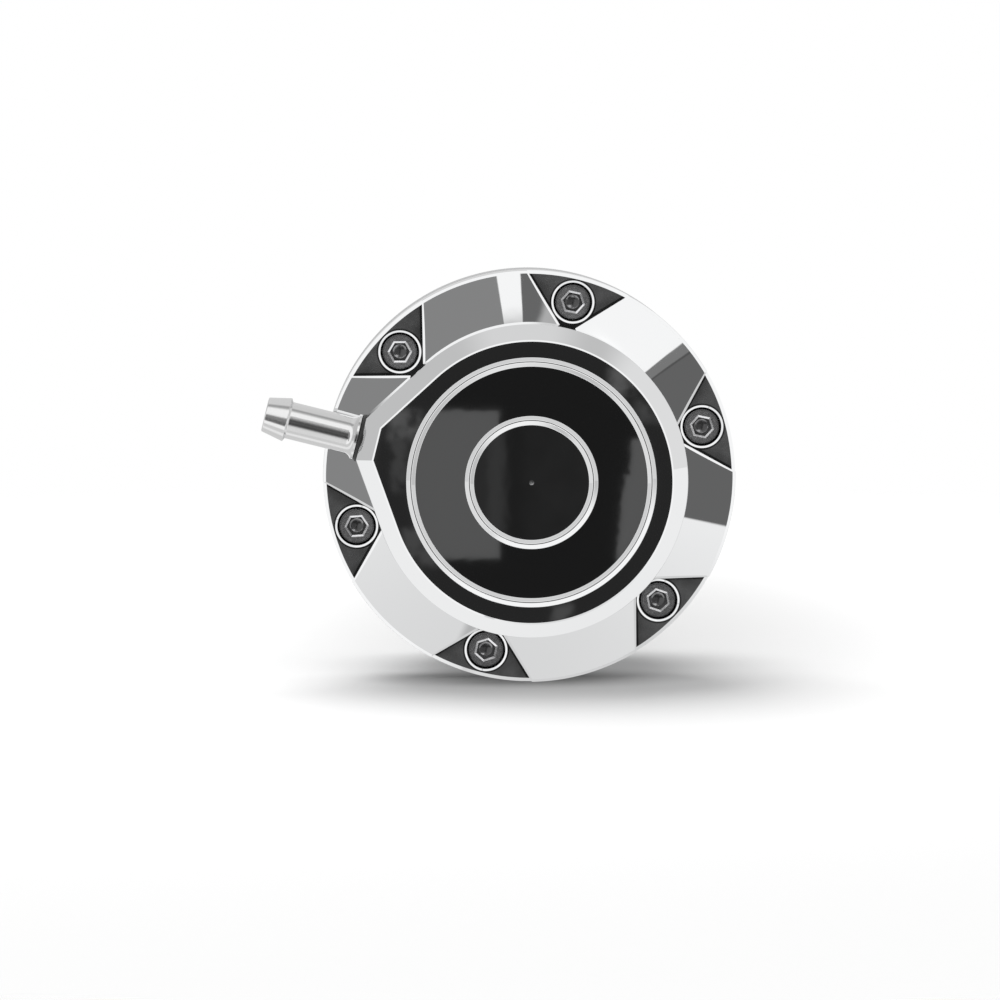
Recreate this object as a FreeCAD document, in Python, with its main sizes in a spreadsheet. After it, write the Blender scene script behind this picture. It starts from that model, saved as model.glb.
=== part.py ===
import FreeCAD, Part
import math
import os
import Sketcher

# Wastegate actuator. Air pressure enters the turned cap through a hose barb, presses a rolling
# diaphragm and its piston against two nested springs, and pushes the rod out of the canister.
# The axis of the unit runs along Y. Y = 0 is the mounting face at the foot of the canister,
# the cap faces -Y and the rod leaves towards +Y. Lengths are in millimetres.

SIZES = [
    # Gaps between pieces that fit together.
    ("thread_gap", 0.04, "radial gap of a plain shank in its threaded hole"),
    ("push_gap", 0.02, "radial gap of a pushed-in ring or bush"),
    ("running_gap", 0.05, "radial gap of the rod in its bush"),
    ("sheet_gap", 0.12, "gap between the diaphragm and the walls it rolls on"),
    ("hole_gap", 0.25, "radial gap of a screw in a plain hole"),
    ("stop_gap", 0.3, "gap under the stop shoulder at rest"),
    ("edge_break", 0.3, "bevel on turned outer edges"),
    ("rim_bevel", 0.55, "bevel between the face and the rim of the cap"),
    # Cap.
    ("rim_radius", 38.1, "outer radius of both flanges"),
    ("rim_height", 8.0, "cap flange height at its outer edge"),
    ("cone_rise", 2.0, "rise of the sloping flange from its rim to the boss"),
    ("flange_width", 9.4, "sloping flange, from the boss to the rim"),
    ("boss_height", 14.0, "top of the boss above the flange rim"),
    ("boss_bevel", 2.9, "bevel round the top of the boss"),
    ("facet_proud", 3.2, "flat facet of the boss beyond its radius"),
    ("facet_width", 7.8, "width of that facet"),
    ("outer_groove_inset", 6.75, "outer ring groove inside the boss radius"),
    ("inner_groove_radius", 11.3, "mean radius of the inner ring groove"),
    ("groove_cutter", 0.85, "radius of the round groove tool"),
    ("groove_depth", 0.6, "depth of the ring grooves"),
    ("dish_depth", 0.18, "hollow of the centre disc"),
    ("drill_radius", 0.42, "radius of the centre drill mark"),
    ("chamber_wall", 3.7, "pressure chamber inside the boss radius"),
    ("stop_width", 10.0, "stop shoulder round the recess over the piston nut"),
    ("roof_thickness", 3.5, "cap roof over the recess"),
    # Hose port. Its angle is counted from +X towards +Z.
    ("port_angle", 166.0, "direction of the hose port"),
    ("port_height", 7.0, "port axis above the flange rim"),
    ("port_thread_radius", 3.0, "port thread"),
    ("port_thread_depth", 9.0, "depth of the port thread from the facet"),
    ("port_passage_radius", 1.75, "air passage into the recess"),
    ("spotface_radius", 4.9, "seat of the port seal"),
    ("spotface_depth", 0.6, "depth of that seat"),
    # Hose barb.
    ("barb_tube_radius", 3.4, "tube of the barb"),
    ("barb_bead_radius", 4.05, "bead of the barb"),
    ("barb_tip_radius", 3.15, "tip of the barb"),
    ("barb_bore_radius", 2.0, "bore of the barb"),
    ("barb_collar_radius", 4.2, "collar of the barb"),
    ("barb_collar_height", 0.45, "collar thickness"),
    ("barb_flare", 1.4, "length of the flare behind the collar"),
    ("barb_reach", 17.4, "tip of the barb beyond the collar face"),
    ("barb_bead_length", 4.15, "tip to bead"),
    ("barb_bead_back", 0.35, "back slope of the bead"),
    ("barb_stub_length", 8.6, "threaded stub below the collar"),
    ("seal_section", 1.3, "thickness of the port seal ring"),
    # Cap screws in open V-shaped pockets.
    ("screw_inset", 4.9, "screw circle inside the rim"),
    ("screw_count", 6, "number of cap screws"),
    ("pocket_length", 10.9, "apex of the 90 degree pocket inside the rim"),
    ("pocket_depth", 1.0, "pocket floor below the flange rim"),
    ("counterbore_radius", 3.65, "counterbore for a screw head"),
    ("counterbore_bevel", 0.45, "bevel of the counterbore"),
    ("counterbore_depth", 4.1, "depth of the counterbore"),
    ("screw_radius", 2.0, "screw thread"),
    ("screw_length", 10.0, "screw length under the head"),
    ("screw_head_radius", 3.5, "screw head"),
    ("screw_head_height", 4.0, "screw head height"),
    ("screw_head_bevel", 0.35, "bevel of the screw head"),
    ("socket_width", 3.0, "hexagon socket across flats"),
    ("socket_depth", 2.0, "depth of the socket"),
    # Canister.
    ("body_length", 44.0, "mounting face to clamp face"),
    ("flange_thickness", 8.0, "canister flange"),
    ("canister_inset", 8.6, "outside of the canister inside the rim"),
    ("canister_wall", 3.0, "wall of the canister"),
    ("flange_fillet", 1.2, "fillet under the flange"),
    ("base_inset", 5.0, "foot inside the outside of the canister"),
    ("base_height", 4.0, "straight height of the foot"),
    ("waist_fillet", 1.5, "fillet between the foot and the shoulder above it"),
    ("shoulder_bevel", 2.5, "bevel at the lower edge of the canister"),
    ("floor_thickness", 11.0, "floor of the canister"),
    ("floor_fillet", 1.5, "inside corner of the canister"),
    ("neck_gap", 1.24, "gap between the inner spring and the neck round the bush"),
    ("neck_height", 4.0, "height of that neck"),
    ("bush_outer_radius", 6.0, "outside of the guide bush"),
    ("wiper_bore_radius", 8.0, "seat of the rod wiper"),
    ("wiper_bore_depth", 6.0, "depth of that seat"),
    ("clip_groove_depth", 0.4, "groove of the retaining ring"),
    ("clip_thickness", 1.0, "retaining ring"),
    ("clip_width", 1.4, "width of its band"),
    ("clip_lug_span", 4.2, "width across its two lugs"),
    ("clip_opening", 1.4, "opening between the lugs"),
    ("clip_eyelet_radius", 0.4, "holes in the lugs"),
    ("mount_inset", 7.5, "circle of the mounting holes inside the foot"),
    ("mount_hole_radius", 2.5, "tapped mounting hole, drilled size"),
    ("mount_hole_depth", 9.0, "depth of the mounting holes"),
    ("mount_count", 4, "number of mounting holes"),
    ("vent_radius", 1.25, "breather hole of the spring side"),
    ("vent_distance", 20.0, "breather hole from the mounting face"),
    # Moving group.
    ("sheet_thickness", 0.8, "diaphragm"),
    ("loop_height", 3.6, "straight run of the rolling loop below the clamp face"),
    ("head_rise", 7.0, "piston head above the cap's clamp face at rest"),
    ("roll_width", 4.2, "room for the rolling loop between piston and canister"),
    ("piston_wall", 1.6, "piston skirt"),
    ("piston_head", 2.5, "piston head thickness"),
    ("piston_height", 16.0, "height of the piston"),
    ("piston_fillet", 1.6, "rounded edge of the piston head"),
    ("rib_gap", 0.7, "gap of each spring to the rib between them"),
    ("rib_height", 2.4, "height of that rib"),
    ("plate_inset", 1.3, "retainer plate inside the piston"),
    ("plate_thickness", 2.0, "retainer plate"),
    ("seal_seat_radius", 4.5, "seat of the stud seal in the plate"),
    ("seal_seat_depth", 1.0, "depth of that seat"),
    ("washer_radius", 7.0, "plate washer and backing washer"),
    ("washer_thickness", 1.2, "thickness of both washers"),
    ("nut_width", 10.0, "both nuts, across flats"),
    ("lock_nut_height", 6.0, "self-locking nut on the piston stud"),
    ("lock_collar_height", 1.6, "round collar of that nut"),
    ("lock_collar_radius", 4.4, "radius of that collar"),
    ("stud_radius", 3.0, "threads of the rod"),
    ("stud_proud", 0.5, "stud beyond its nut"),
    ("rod_radius", 4.0, "ground part of the rod"),
    ("rod_shoulder", 42.0, "end of the ground part, from the mounting face"),
    ("rod_tip", 70.0, "end of the rod, from the mounting face"),
    ("flat_width", 7.0, "spanner flats on the rod"),
    ("flat_length", 6.0, "length of those flats"),
    ("flat_margin", 1.5, "flats to the end of the ground part"),
    ("bush_flange_share", 0.6, "share of the neck that the bush flange covers"),
    ("bush_flange_height", 1.5, "thickness of that flange"),
    ("wiper_height", 3.0, "rod wiper"),
    ("wiper_lip_gap", 0.08, "gap of the wiper lip round the rod"),
    ("wiper_lip", 0.8, "thickness of that lip"),
    ("seat_thickness", 1.0, "spring seat ring"),
    ("main_wire", 3.0, "wire of the main spring"),
    ("main_spring_inset", 3.8, "mean radius of the main spring inside the piston"),
    ("main_turns", 5.5, "turns of the main spring"),
    ("inner_wire", 2.2, "wire of the inner spring"),
    ("inner_spring_share", 0.64, "mean radius of the inner spring to the main one"),
    ("inner_turns", 7.5, "turns of the inner spring"),
    ("ground_share", 0.4, "share of the wire radius ground off each spring end"),
    # Rod end.
    ("end_start", 56.0, "face of the rod end, from the mounting face"),
    ("jam_nut_height", 5.0, "jam nut"),
    ("end_shank_radius", 5.5, "shank of the rod end"),
    ("end_shank_length", 18.0, "length of that shank"),
    ("eye_distance", 26.5, "eye centre from the face of the rod end"),
    ("eye_radius", 8.5, "outside of the eye"),
    ("eye_thickness", 8.0, "thickness of the eye"),
    ("eye_bevel", 0.6, "bevel round the eye"),
    ("eye_bush_radius", 4.5, "outside of the eye bush"),
    ("eye_bore_radius", 3.05, "bore of the eye bush"),
    ("eye_bush_proud", 0.2, "bush beyond each face of the eye"),
    ("end_thread_depth", 15.5, "threaded hole of the rod end"),
]

# Where each screw's socket has stopped, in degrees from +X towards +Z, counted round the cap
# from the screw below the port.
SOCKET_ANGLES = [4.0, 18.0, 41.0, 48.0, 48.0, 0.0]

# Corner of a hexagon over half its width across flats.
HEX_CORNER = round(2 / math.sqrt(3), 9)
# Slope of the turned bevel on a nut's corners.
NUT_BEVEL = round(math.tan(math.radians(30)), 9)
# Cuts run past the material by this factor.
CLEAR = 1.2


class Size:
    """A length that knows both its number and the sheet expression that gives it."""

    def __init__(self, value, text):
        self.value = float(value)
        self.text = text

    def __add__(self, other):
        other = size_of(other)
        return Size(self.value + other.value, f"({self.text} + {other.text})")

    def __radd__(self, other):
        return size_of(other) + self

    def __sub__(self, other):
        other = size_of(other)
        return Size(self.value - other.value, f"({self.text} - {other.text})")

    def __rsub__(self, other):
        return size_of(other) - self

    def __mul__(self, other):
        other = size_of(other)
        return Size(self.value * other.value, f"({self.text} * {other.text})")

    def __rmul__(self, other):
        return size_of(other) * self

    def __truediv__(self, other):
        other = size_of(other)
        return Size(self.value / other.value, f"({self.text} / {other.text})")

    def __rtruediv__(self, other):
        return size_of(other) / self

    def __neg__(self):
        return Size(-self.value, f"(0 - {self.text})")


def size_of(thing):
    return thing if isinstance(thing, Size) else Size(thing, repr(float(thing)))


doc = FreeCAD.newDocument("WastegateActuator")
sheet = doc.addObject("Spreadsheet::Sheet", "Sizes")
for row, (name, value, note) in enumerate(SIZES, start=1):
    sheet.set(f"A{row}", name)
    sheet.set(f"B{row}", str(value))
    sheet.set(f"C{row}", note)
    sheet.setAlias(f"B{row}", name)
doc.recompute()


class SheetSizes:
    """Gives each named size of the sheet as an attribute."""


size = SheetSizes()
for name, value, note in SIZES:
    setattr(size, name, Size(value, f"Sizes.{name}"))

# Radii that follow from the rim inwards.
size.boss_radius = size.rim_radius - size.flange_width
size.facet_distance = size.boss_radius + size.facet_proud
size.outer_groove_radius = size.boss_radius - size.outer_groove_inset
size.chamber_radius = size.boss_radius - size.chamber_wall
size.recess_radius = size.chamber_radius - size.stop_width
size.screw_circle_radius = size.rim_radius - size.screw_inset
size.pocket_apex_radius = size.rim_radius - size.pocket_length
size.canister_radius = size.rim_radius - size.canister_inset
size.cylinder_radius = size.canister_radius - size.canister_wall
size.base_radius = size.canister_radius - size.base_inset
size.mount_circle_radius = size.base_radius - size.mount_inset
size.piston_radius = size.cylinder_radius - size.roll_width
size.plate_radius = size.piston_radius - size.plate_inset
size.main_spring_radius = size.piston_radius - size.main_spring_inset
size.inner_spring_radius = size.main_spring_radius * size.inner_spring_share
size.rib_outer_radius = size.main_spring_radius - size.main_wire / 2 - size.rib_gap
size.rib_inner_radius = size.inner_spring_radius + size.inner_wire / 2 + size.rib_gap
size.neck_radius = size.inner_spring_radius - size.inner_wire / 2 - size.neck_gap
size.bush_flange_radius = (
    size.bush_outer_radius
    + size.bush_flange_share * (size.neck_radius - size.bush_outer_radius))

# Places along the axis, worked out from the sizes.
clamp_y = -size.body_length
cap_y = clamp_y - size.sheet_thickness
rim_y = cap_y - size.rim_height
top_y = rim_y - size.boss_height
pocket_y = rim_y + size.pocket_depth
head_y = cap_y - size.head_rise
plate_y = head_y - size.sheet_thickness
washer_y = plate_y - size.plate_thickness
lock_nut_y = washer_y - size.washer_thickness
stud_y = lock_nut_y - size.lock_nut_height - size.stud_proud
stop_y = washer_y - size.stop_gap
roof_y = top_y + size.roof_thickness
port_y = rim_y - size.port_height
head_under_y = head_y + size.piston_head
rod_start_y = head_under_y + size.washer_thickness
floor_y = -size.floor_thickness
seat_y = floor_y - size.seat_thickness
eye_y = size.end_start + size.eye_distance
stud_hole_radius = size.stud_radius + size.thread_gap


def bind(thing, prop, amount):
    """Ties one property of a document object to the sheet."""
    thing.setExpression(prop, size_of(amount).text)


def new_body(label):
    body = doc.addObject("PartDesign::Body", label)
    body.Label = label
    return body


def origin_part(body, role):
    return next(part for part in body.Origin.OriginFeatures if part.Role == role)


def new_sketch(body, name, role, lift=None):
    """A sketch on one of the body's own origin planes, lifted along the plane's normal."""
    sketch = body.newObject("Sketcher::SketchObject", name)
    sketch.AttachmentSupport = [(origin_part(body, role), "")]
    sketch.MapMode = "FlatFace"
    if lift is not None:
        sketch.AttachmentOffset = FreeCAD.Placement(
            FreeCAD.Vector(0, 0, size_of(lift).value), FreeCAD.Rotation())
        bind(sketch, "AttachmentOffset.Base.z", lift)
    return sketch


def hold(sketch, kind, geometry, end, amount):
    """Holds one coordinate of a sketch point at a size from the sketch origin."""
    amount = size_of(amount)
    if amount.value == 0:
        axis = -2 if kind == "DistanceX" else -1
        sketch.addConstraint(Sketcher.Constraint("PointOnObject", geometry, end, axis))
        return
    if amount.value > 0:
        rule = Sketcher.Constraint(kind, -1, 1, geometry, end, amount.value)
    else:
        amount = -amount
        rule = Sketcher.Constraint(kind, geometry, end, -1, 1, amount.value)
    index = sketch.addConstraint(rule)
    bind(sketch, f"Constraints[{index}]", amount)


def arc_between(start, finish, centre):
    """The arc round a centre on the short way between two points, counted anticlockwise, and
    whether it runs from start to finish."""
    first = math.atan2(start.y - centre.y, start.x - centre.x)
    last = math.atan2(finish.y - centre.y, finish.x - centre.x)
    forwards = (last - first) % (2 * math.pi) < math.pi
    if not forwards:
        first, last = last, first
    circle = Part.Circle(centre, FreeCAD.Vector(0, 0, 1), (start - centre).Length)
    return Part.ArcOfCircle(circle, first, last), forwards


def outline(sketch, steps):
    """Closed outline. A step is a corner (x, y), or a round stretch (x, y, centre x, centre y)
    that arrives at (x, y) on the short way round its centre."""
    first = sketch.GeometryCount
    corners = [FreeCAD.Vector(size_of(step[0]).value, size_of(step[1]).value, 0) for step in steps]
    count = len(steps)
    ends = []
    for number in range(count):
        start = corners[number]
        after = (number + 1) % count
        step = steps[after]
        if len(step) == 2:
            sketch.addGeometry(Part.LineSegment(start, corners[after]))
            ends.append((1, 2))
            continue
        centre = FreeCAD.Vector(size_of(step[2]).value, size_of(step[3]).value, 0)
        arc, forwards = arc_between(start, corners[after], centre)
        sketch.addGeometry(arc)
        ends.append((1, 2) if forwards else (2, 1))
    for number in range(count):
        after = (number + 1) % count
        sketch.addConstraint(Sketcher.Constraint(
            "Coincident", first + number, ends[number][1], first + after, ends[after][0]))
        hold(sketch, "DistanceX", first + number, ends[number][0], steps[number][0])
        hold(sketch, "DistanceY", first + number, ends[number][0], steps[number][1])
    for number in range(count):
        after = (number + 1) % count
        if len(steps[after]) == 4:
            chord = corners[after] - corners[number]
            if abs(chord.x) > abs(chord.y):
                hold(sketch, "DistanceY", first + number, 3, steps[after][3])
            else:
                hold(sketch, "DistanceX", first + number, 3, steps[after][2])


def ring(sketch, across, up, radius):
    """A circle of the sketch with its centre and radius tied to sizes."""
    centre = FreeCAD.Vector(size_of(across).value, size_of(up).value, 0)
    number = sketch.addGeometry(Part.Circle(centre, FreeCAD.Vector(0, 0, 1), size_of(radius).value))
    hold(sketch, "DistanceX", number, 3, across)
    hold(sketch, "DistanceY", number, 3, up)
    index = sketch.addConstraint(Sketcher.Constraint("Radius", number, size_of(radius).value))
    bind(sketch, f"Constraints[{index}]", radius)


def hexagon(sketch, across_flats):
    """A regular hexagon round the sketch origin, with a flat on each side of the X axis."""
    half = size_of(across_flats) / 2
    side = half * HEX_CORNER
    low = side / 2
    outline(sketch, [(side, 0), (low, half), (-low, half), (-side, 0), (-low, -half), (low, -half)])


def turn(body, name, steps, cut=False, axis="V_Axis"):
    """Turns an outline, drawn in the XY plane, into a full ring or out of the body."""
    sketch = new_sketch(body, name + "_outline", "XY_Plane")
    outline(sketch, steps)
    feature = body.newObject("PartDesign::Groove" if cut else "PartDesign::Revolution", name)
    feature.Profile = sketch
    feature.ReferenceAxis = (sketch, [axis])
    feature.Angle = 360
    return feature


def pad(body, name, sketch, length, midplane=False):
    feature = body.newObject("PartDesign::Pad", name)
    feature.Profile = sketch
    feature.Midplane = midplane
    bind(feature, "Length", length)
    return feature


def pocket(body, name, sketch, length, reverse=False, midplane=False):
    """Cuts against the sketch normal, or along it when reversed."""
    feature = body.newObject("PartDesign::Pocket", name)
    feature.Profile = sketch
    feature.Reversed = reverse
    feature.Midplane = midplane
    bind(feature, "Length", length)
    return feature


def polar(body, name, originals, count):
    """Repeats features evenly round the Y axis."""
    feature = body.newObject("PartDesign::PolarPattern", name)
    feature.Originals = originals
    feature.Axis = (origin_part(body, "Y_Axis"), [""])
    feature.Angle = 360
    bind(feature, "Occurrences", count)
    body.Tip = feature
    return feature


def bevel(body, name, base, edges, amount):
    feature = body.newObject("PartDesign::Chamfer", name)
    feature.Base = (base, edges)
    bind(feature, "Size", amount)
    return feature


def clocked(thing, along=None):
    """Turns a piece drawn with the hose port on +X to the port's true direction."""
    base = FreeCAD.Vector(0, 0 if along is None else size_of(along).value, 0)
    turned = FreeCAD.Rotation(FreeCAD.Vector(0, -1, 0), size.port_angle.value)
    thing.Placement = FreeCAD.Placement(base, turned)
    bind(thing, "Placement.Rotation.Angle", size.port_angle)
    if along is not None:
        bind(thing, "Placement.Base.y", along)


def end_face(shape, height):
    """Name of the flat face whose centre stands at the given Y."""
    for number, face in enumerate(shape.Faces, start=1):
        if isinstance(face.Surface, Part.Plane) and abs(face.CenterOfMass.y - height) < 1e-4:
            if abs(abs(face.Surface.Axis.y) - 1) < 1e-6:
                return f"Face{number}"
    raise ValueError("no flat face at that height")


def circle_edges(shape, radius, height):
    """Names of the round edges of one radius at one height along Y."""
    names = []
    for number, edge in enumerate(shape.Edges, start=1):
        curve = edge.Curve
        if isinstance(curve, Part.Circle) and abs(curve.Radius - radius) < 1e-4:
            if abs(curve.Center.y - height) < 1e-4 and abs(abs(curve.Axis.y) - 1) < 1e-6:
                names.append(f"Edge{number}")
    return names


def draw_teardrop(sketch):
    """Circle of the boss, run out along two tangents to the flat facet of the hose port."""
    radius = size.boss_radius.value
    far = size.facet_distance.value
    half = size.facet_width.value / 2
    corner = FreeCAD.Vector(far, half, 0)
    angle = math.atan2(half, far) + math.acos(radius / corner.Length)
    touch = FreeCAD.Vector(radius * math.cos(angle), radius * math.sin(angle), 0)
    low_corner = FreeCAD.Vector(far, -half, 0)
    low_touch = FreeCAD.Vector(touch.x, -touch.y, 0)
    circle = Part.Circle(FreeCAD.Vector(0, 0, 0), FreeCAD.Vector(0, 0, 1), radius)
    arc = sketch.addGeometry(Part.ArcOfCircle(circle, angle, 2 * math.pi - angle))
    upper = sketch.addGeometry(Part.LineSegment(corner, touch))
    facet = sketch.addGeometry(Part.LineSegment(low_corner, corner))
    lower = sketch.addGeometry(Part.LineSegment(low_touch, low_corner))
    rule = Sketcher.Constraint
    sketch.addConstraint(rule("Coincident", arc, 3, -1, 1))
    sketch.addConstraint(rule("Tangent", upper, 2, arc, 1))
    sketch.addConstraint(rule("Tangent", lower, 1, arc, 2))
    sketch.addConstraint(rule("Coincident", facet, 2, upper, 1))
    sketch.addConstraint(rule("Coincident", facet, 1, lower, 2))
    sketch.addConstraint(rule("Symmetric", facet, 1, facet, 2, -1))
    index = sketch.addConstraint(rule("Radius", arc, radius))
    bind(sketch, f"Constraints[{index}]", size.boss_radius)
    index = sketch.addConstraint(rule("Distance", facet, 2 * half))
    bind(sketch, f"Constraints[{index}]", size.facet_width)
    hold(sketch, "DistanceX", facet, 2, size.facet_distance)


def make_cap():
    """Cap: a mirror-polished flange sloping away from a teardrop boss, cut from the solid."""
    body = new_body("cap")
    edge = size.edge_break
    slope = size.cone_rise / (size.rim_radius - size.boss_radius)
    turn(body, "Flange", [
        (0, cap_y),
        (size.rim_radius - edge, cap_y),
        (size.rim_radius, cap_y - edge),
        (size.rim_radius, rim_y + size.rim_bevel),
        (size.rim_radius - size.rim_bevel, rim_y - size.rim_bevel * slope),
        (size.boss_radius, rim_y - size.cone_rise),
        (0, rim_y - size.cone_rise),
    ])

    reach = size.rim_radius * CLEAR
    sketch = new_sketch(body, "Pocket_outline", "XZ_Plane", -pocket_y)
    half = reach - size.pocket_apex_radius
    outline(sketch, [(0, size.pocket_apex_radius), (half, reach), (-half, reach)])
    first_pocket = pocket(body, "Pocket", sketch, size.pocket_depth + size.cone_rise * 2, reverse=True)
    polar(body, "Pockets", [first_pocket], size.screw_count)

    sketch = new_sketch(body, "Boss_outline", "XZ_Plane", -pocket_y)
    draw_teardrop(sketch)
    boss = pad(body, "Boss", sketch, pocket_y - top_y)
    doc.recompute()
    bevel(body, "Boss_edge", boss, [end_face(boss.Shape, top_y.value)], size.boss_bevel)

    cutter = size.groove_cutter
    for name, radius in (("Outer_ring", size.outer_groove_radius), ("Inner_ring", size.inner_groove_radius)):
        sketch = new_sketch(body, name + "_outline", "XY_Plane")
        ring(sketch, radius, top_y + size.groove_depth - cutter, cutter)
        groove = body.newObject("PartDesign::Groove", name)
        groove.Profile = sketch
        groove.ReferenceAxis = (sketch, ["V_Axis"])
        groove.Angle = 360

    dish = size.inner_groove_radius - cutter
    dish_curve = (dish * dish + size.dish_depth * size.dish_depth) / (2 * size.dish_depth)
    turn(body, "Dish", [
        (0, top_y),
        (dish, top_y),
        (0, top_y + size.dish_depth, 0, top_y + size.dish_depth - dish_curve),
    ], cut=True)
    dish_y = top_y + size.dish_depth
    turn(body, "Centre_mark", [
        (0, dish_y - size.drill_radius),
        (size.drill_radius, dish_y - size.drill_radius),
        (size.drill_radius, dish_y),
        (0, dish_y + size.drill_radius),
    ], cut=True)

    turn(body, "Chamber", [
        (0, cap_y),
        (size.chamber_radius + edge, cap_y),
        (size.chamber_radius, cap_y - edge),
        (size.chamber_radius, stop_y),
        (size.recess_radius, stop_y),
        (size.recess_radius, roof_y),
        (0, roof_y),
    ], cut=True)

    sketch = new_sketch(body, "Spotface_outline", "YZ_Plane", size.facet_distance)
    ring(sketch, port_y, 0, size.spotface_radius)
    pocket(body, "Spotface", sketch, size.spotface_depth)
    sketch = new_sketch(body, "Port_thread_outline", "YZ_Plane", size.facet_distance)
    ring(sketch, port_y, 0, size.port_thread_radius + size.thread_gap)
    pocket(body, "Port_thread", sketch, size.port_thread_depth)
    sketch = new_sketch(body, "Port_passage_outline", "YZ_Plane", size.facet_distance)
    ring(sketch, port_y, 0, size.port_passage_radius)
    pocket(body, "Port_passage", sketch, size.facet_distance - size.recess_radius / CLEAR)

    sketch = new_sketch(body, "Counterbore_outline", "XZ_Plane", -pocket_y)
    ring(sketch, 0, size.screw_circle_radius, size.counterbore_radius)
    counterbore = pocket(body, "Counterbore", sketch, size.counterbore_depth)
    sketch = new_sketch(body, "Screw_hole_outline", "XZ_Plane", -pocket_y)
    ring(sketch, 0, size.screw_circle_radius, size.screw_radius + size.hole_gap)
    screw_hole = pocket(body, "Screw_hole", sketch, size.rim_height)
    polar(body, "Screw_seats", [counterbore, screw_hole], size.screw_count)
    doc.recompute()
    mouths = circle_edges(body.Tip.Shape, size.counterbore_radius.value, pocket_y.value)
    bevel(body, "Counterbore_edges", body.Tip, mouths, size.counterbore_bevel)
    clocked(body)
    return body


def make_hose_barb():
    """Hose barb: turned, with a bead at its tip and a flared collar over its threaded stub."""
    body = new_body("hose_barb")
    seat = size.facet_distance - size.spotface_depth
    collar = seat + size.seal_section
    face = collar + size.barb_collar_height
    tip = face + size.barb_reach - size.barb_collar_height
    bead = tip - size.barb_bead_length
    flare_end = face + size.barb_flare
    flare_rise = size.barb_collar_radius - size.barb_tube_radius
    flare_radius = (size.barb_flare * size.barb_flare + flare_rise * flare_rise) / (2 * flare_rise)
    turn(body, "Turned", [
        (collar - size.barb_stub_length, size.barb_bore_radius),
        (tip - size.edge_break, size.barb_bore_radius),
        (tip, size.barb_bore_radius + size.edge_break),
        (tip, size.barb_tip_radius),
        (bead, size.barb_bead_radius),
        (bead - size.barb_bead_back, size.barb_tube_radius),
        (flare_end, size.barb_tube_radius),
        (face, size.barb_collar_radius, flare_end, size.barb_tube_radius + flare_radius),
        (collar, size.barb_collar_radius),
        (collar, size.port_thread_radius),
        (collar - size.barb_stub_length + size.edge_break, size.port_thread_radius),
        (collar - size.barb_stub_length, size.port_thread_radius - size.edge_break),
    ], axis="H_Axis")
    clocked(body, port_y)
    return body


def make_barb_seal():
    """Rubber ring squeezed between the barb's collar and its seat in the cap."""
    seal = doc.addObject("Part::Torus", "barb_seal")
    seal.Label = "barb_seal"
    section = size.seal_section / 2
    bind(seal, "Radius2", section)
    bind(seal, "Radius1", size.port_thread_radius + size.sheet_gap + section)
    seat = size.facet_distance - size.spotface_depth + section
    angle = math.radians(size.port_angle.value)
    outwards = FreeCAD.Vector(math.cos(angle), 0, math.sin(angle))
    seal.Placement = FreeCAD.Placement(
        outwards * seat.value + FreeCAD.Vector(0, port_y.value, 0),
        FreeCAD.Rotation(FreeCAD.Vector(0, 0, 1), outwards))
    bind(seal, "Placement.Base.x", seat * Size(math.cos(angle), "cos(Sizes.port_angle * 1deg)"))
    bind(seal, "Placement.Base.y", port_y)
    bind(seal, "Placement.Base.z", seat * Size(math.sin(angle), "sin(Sizes.port_angle * 1deg)"))
    return seal


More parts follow.
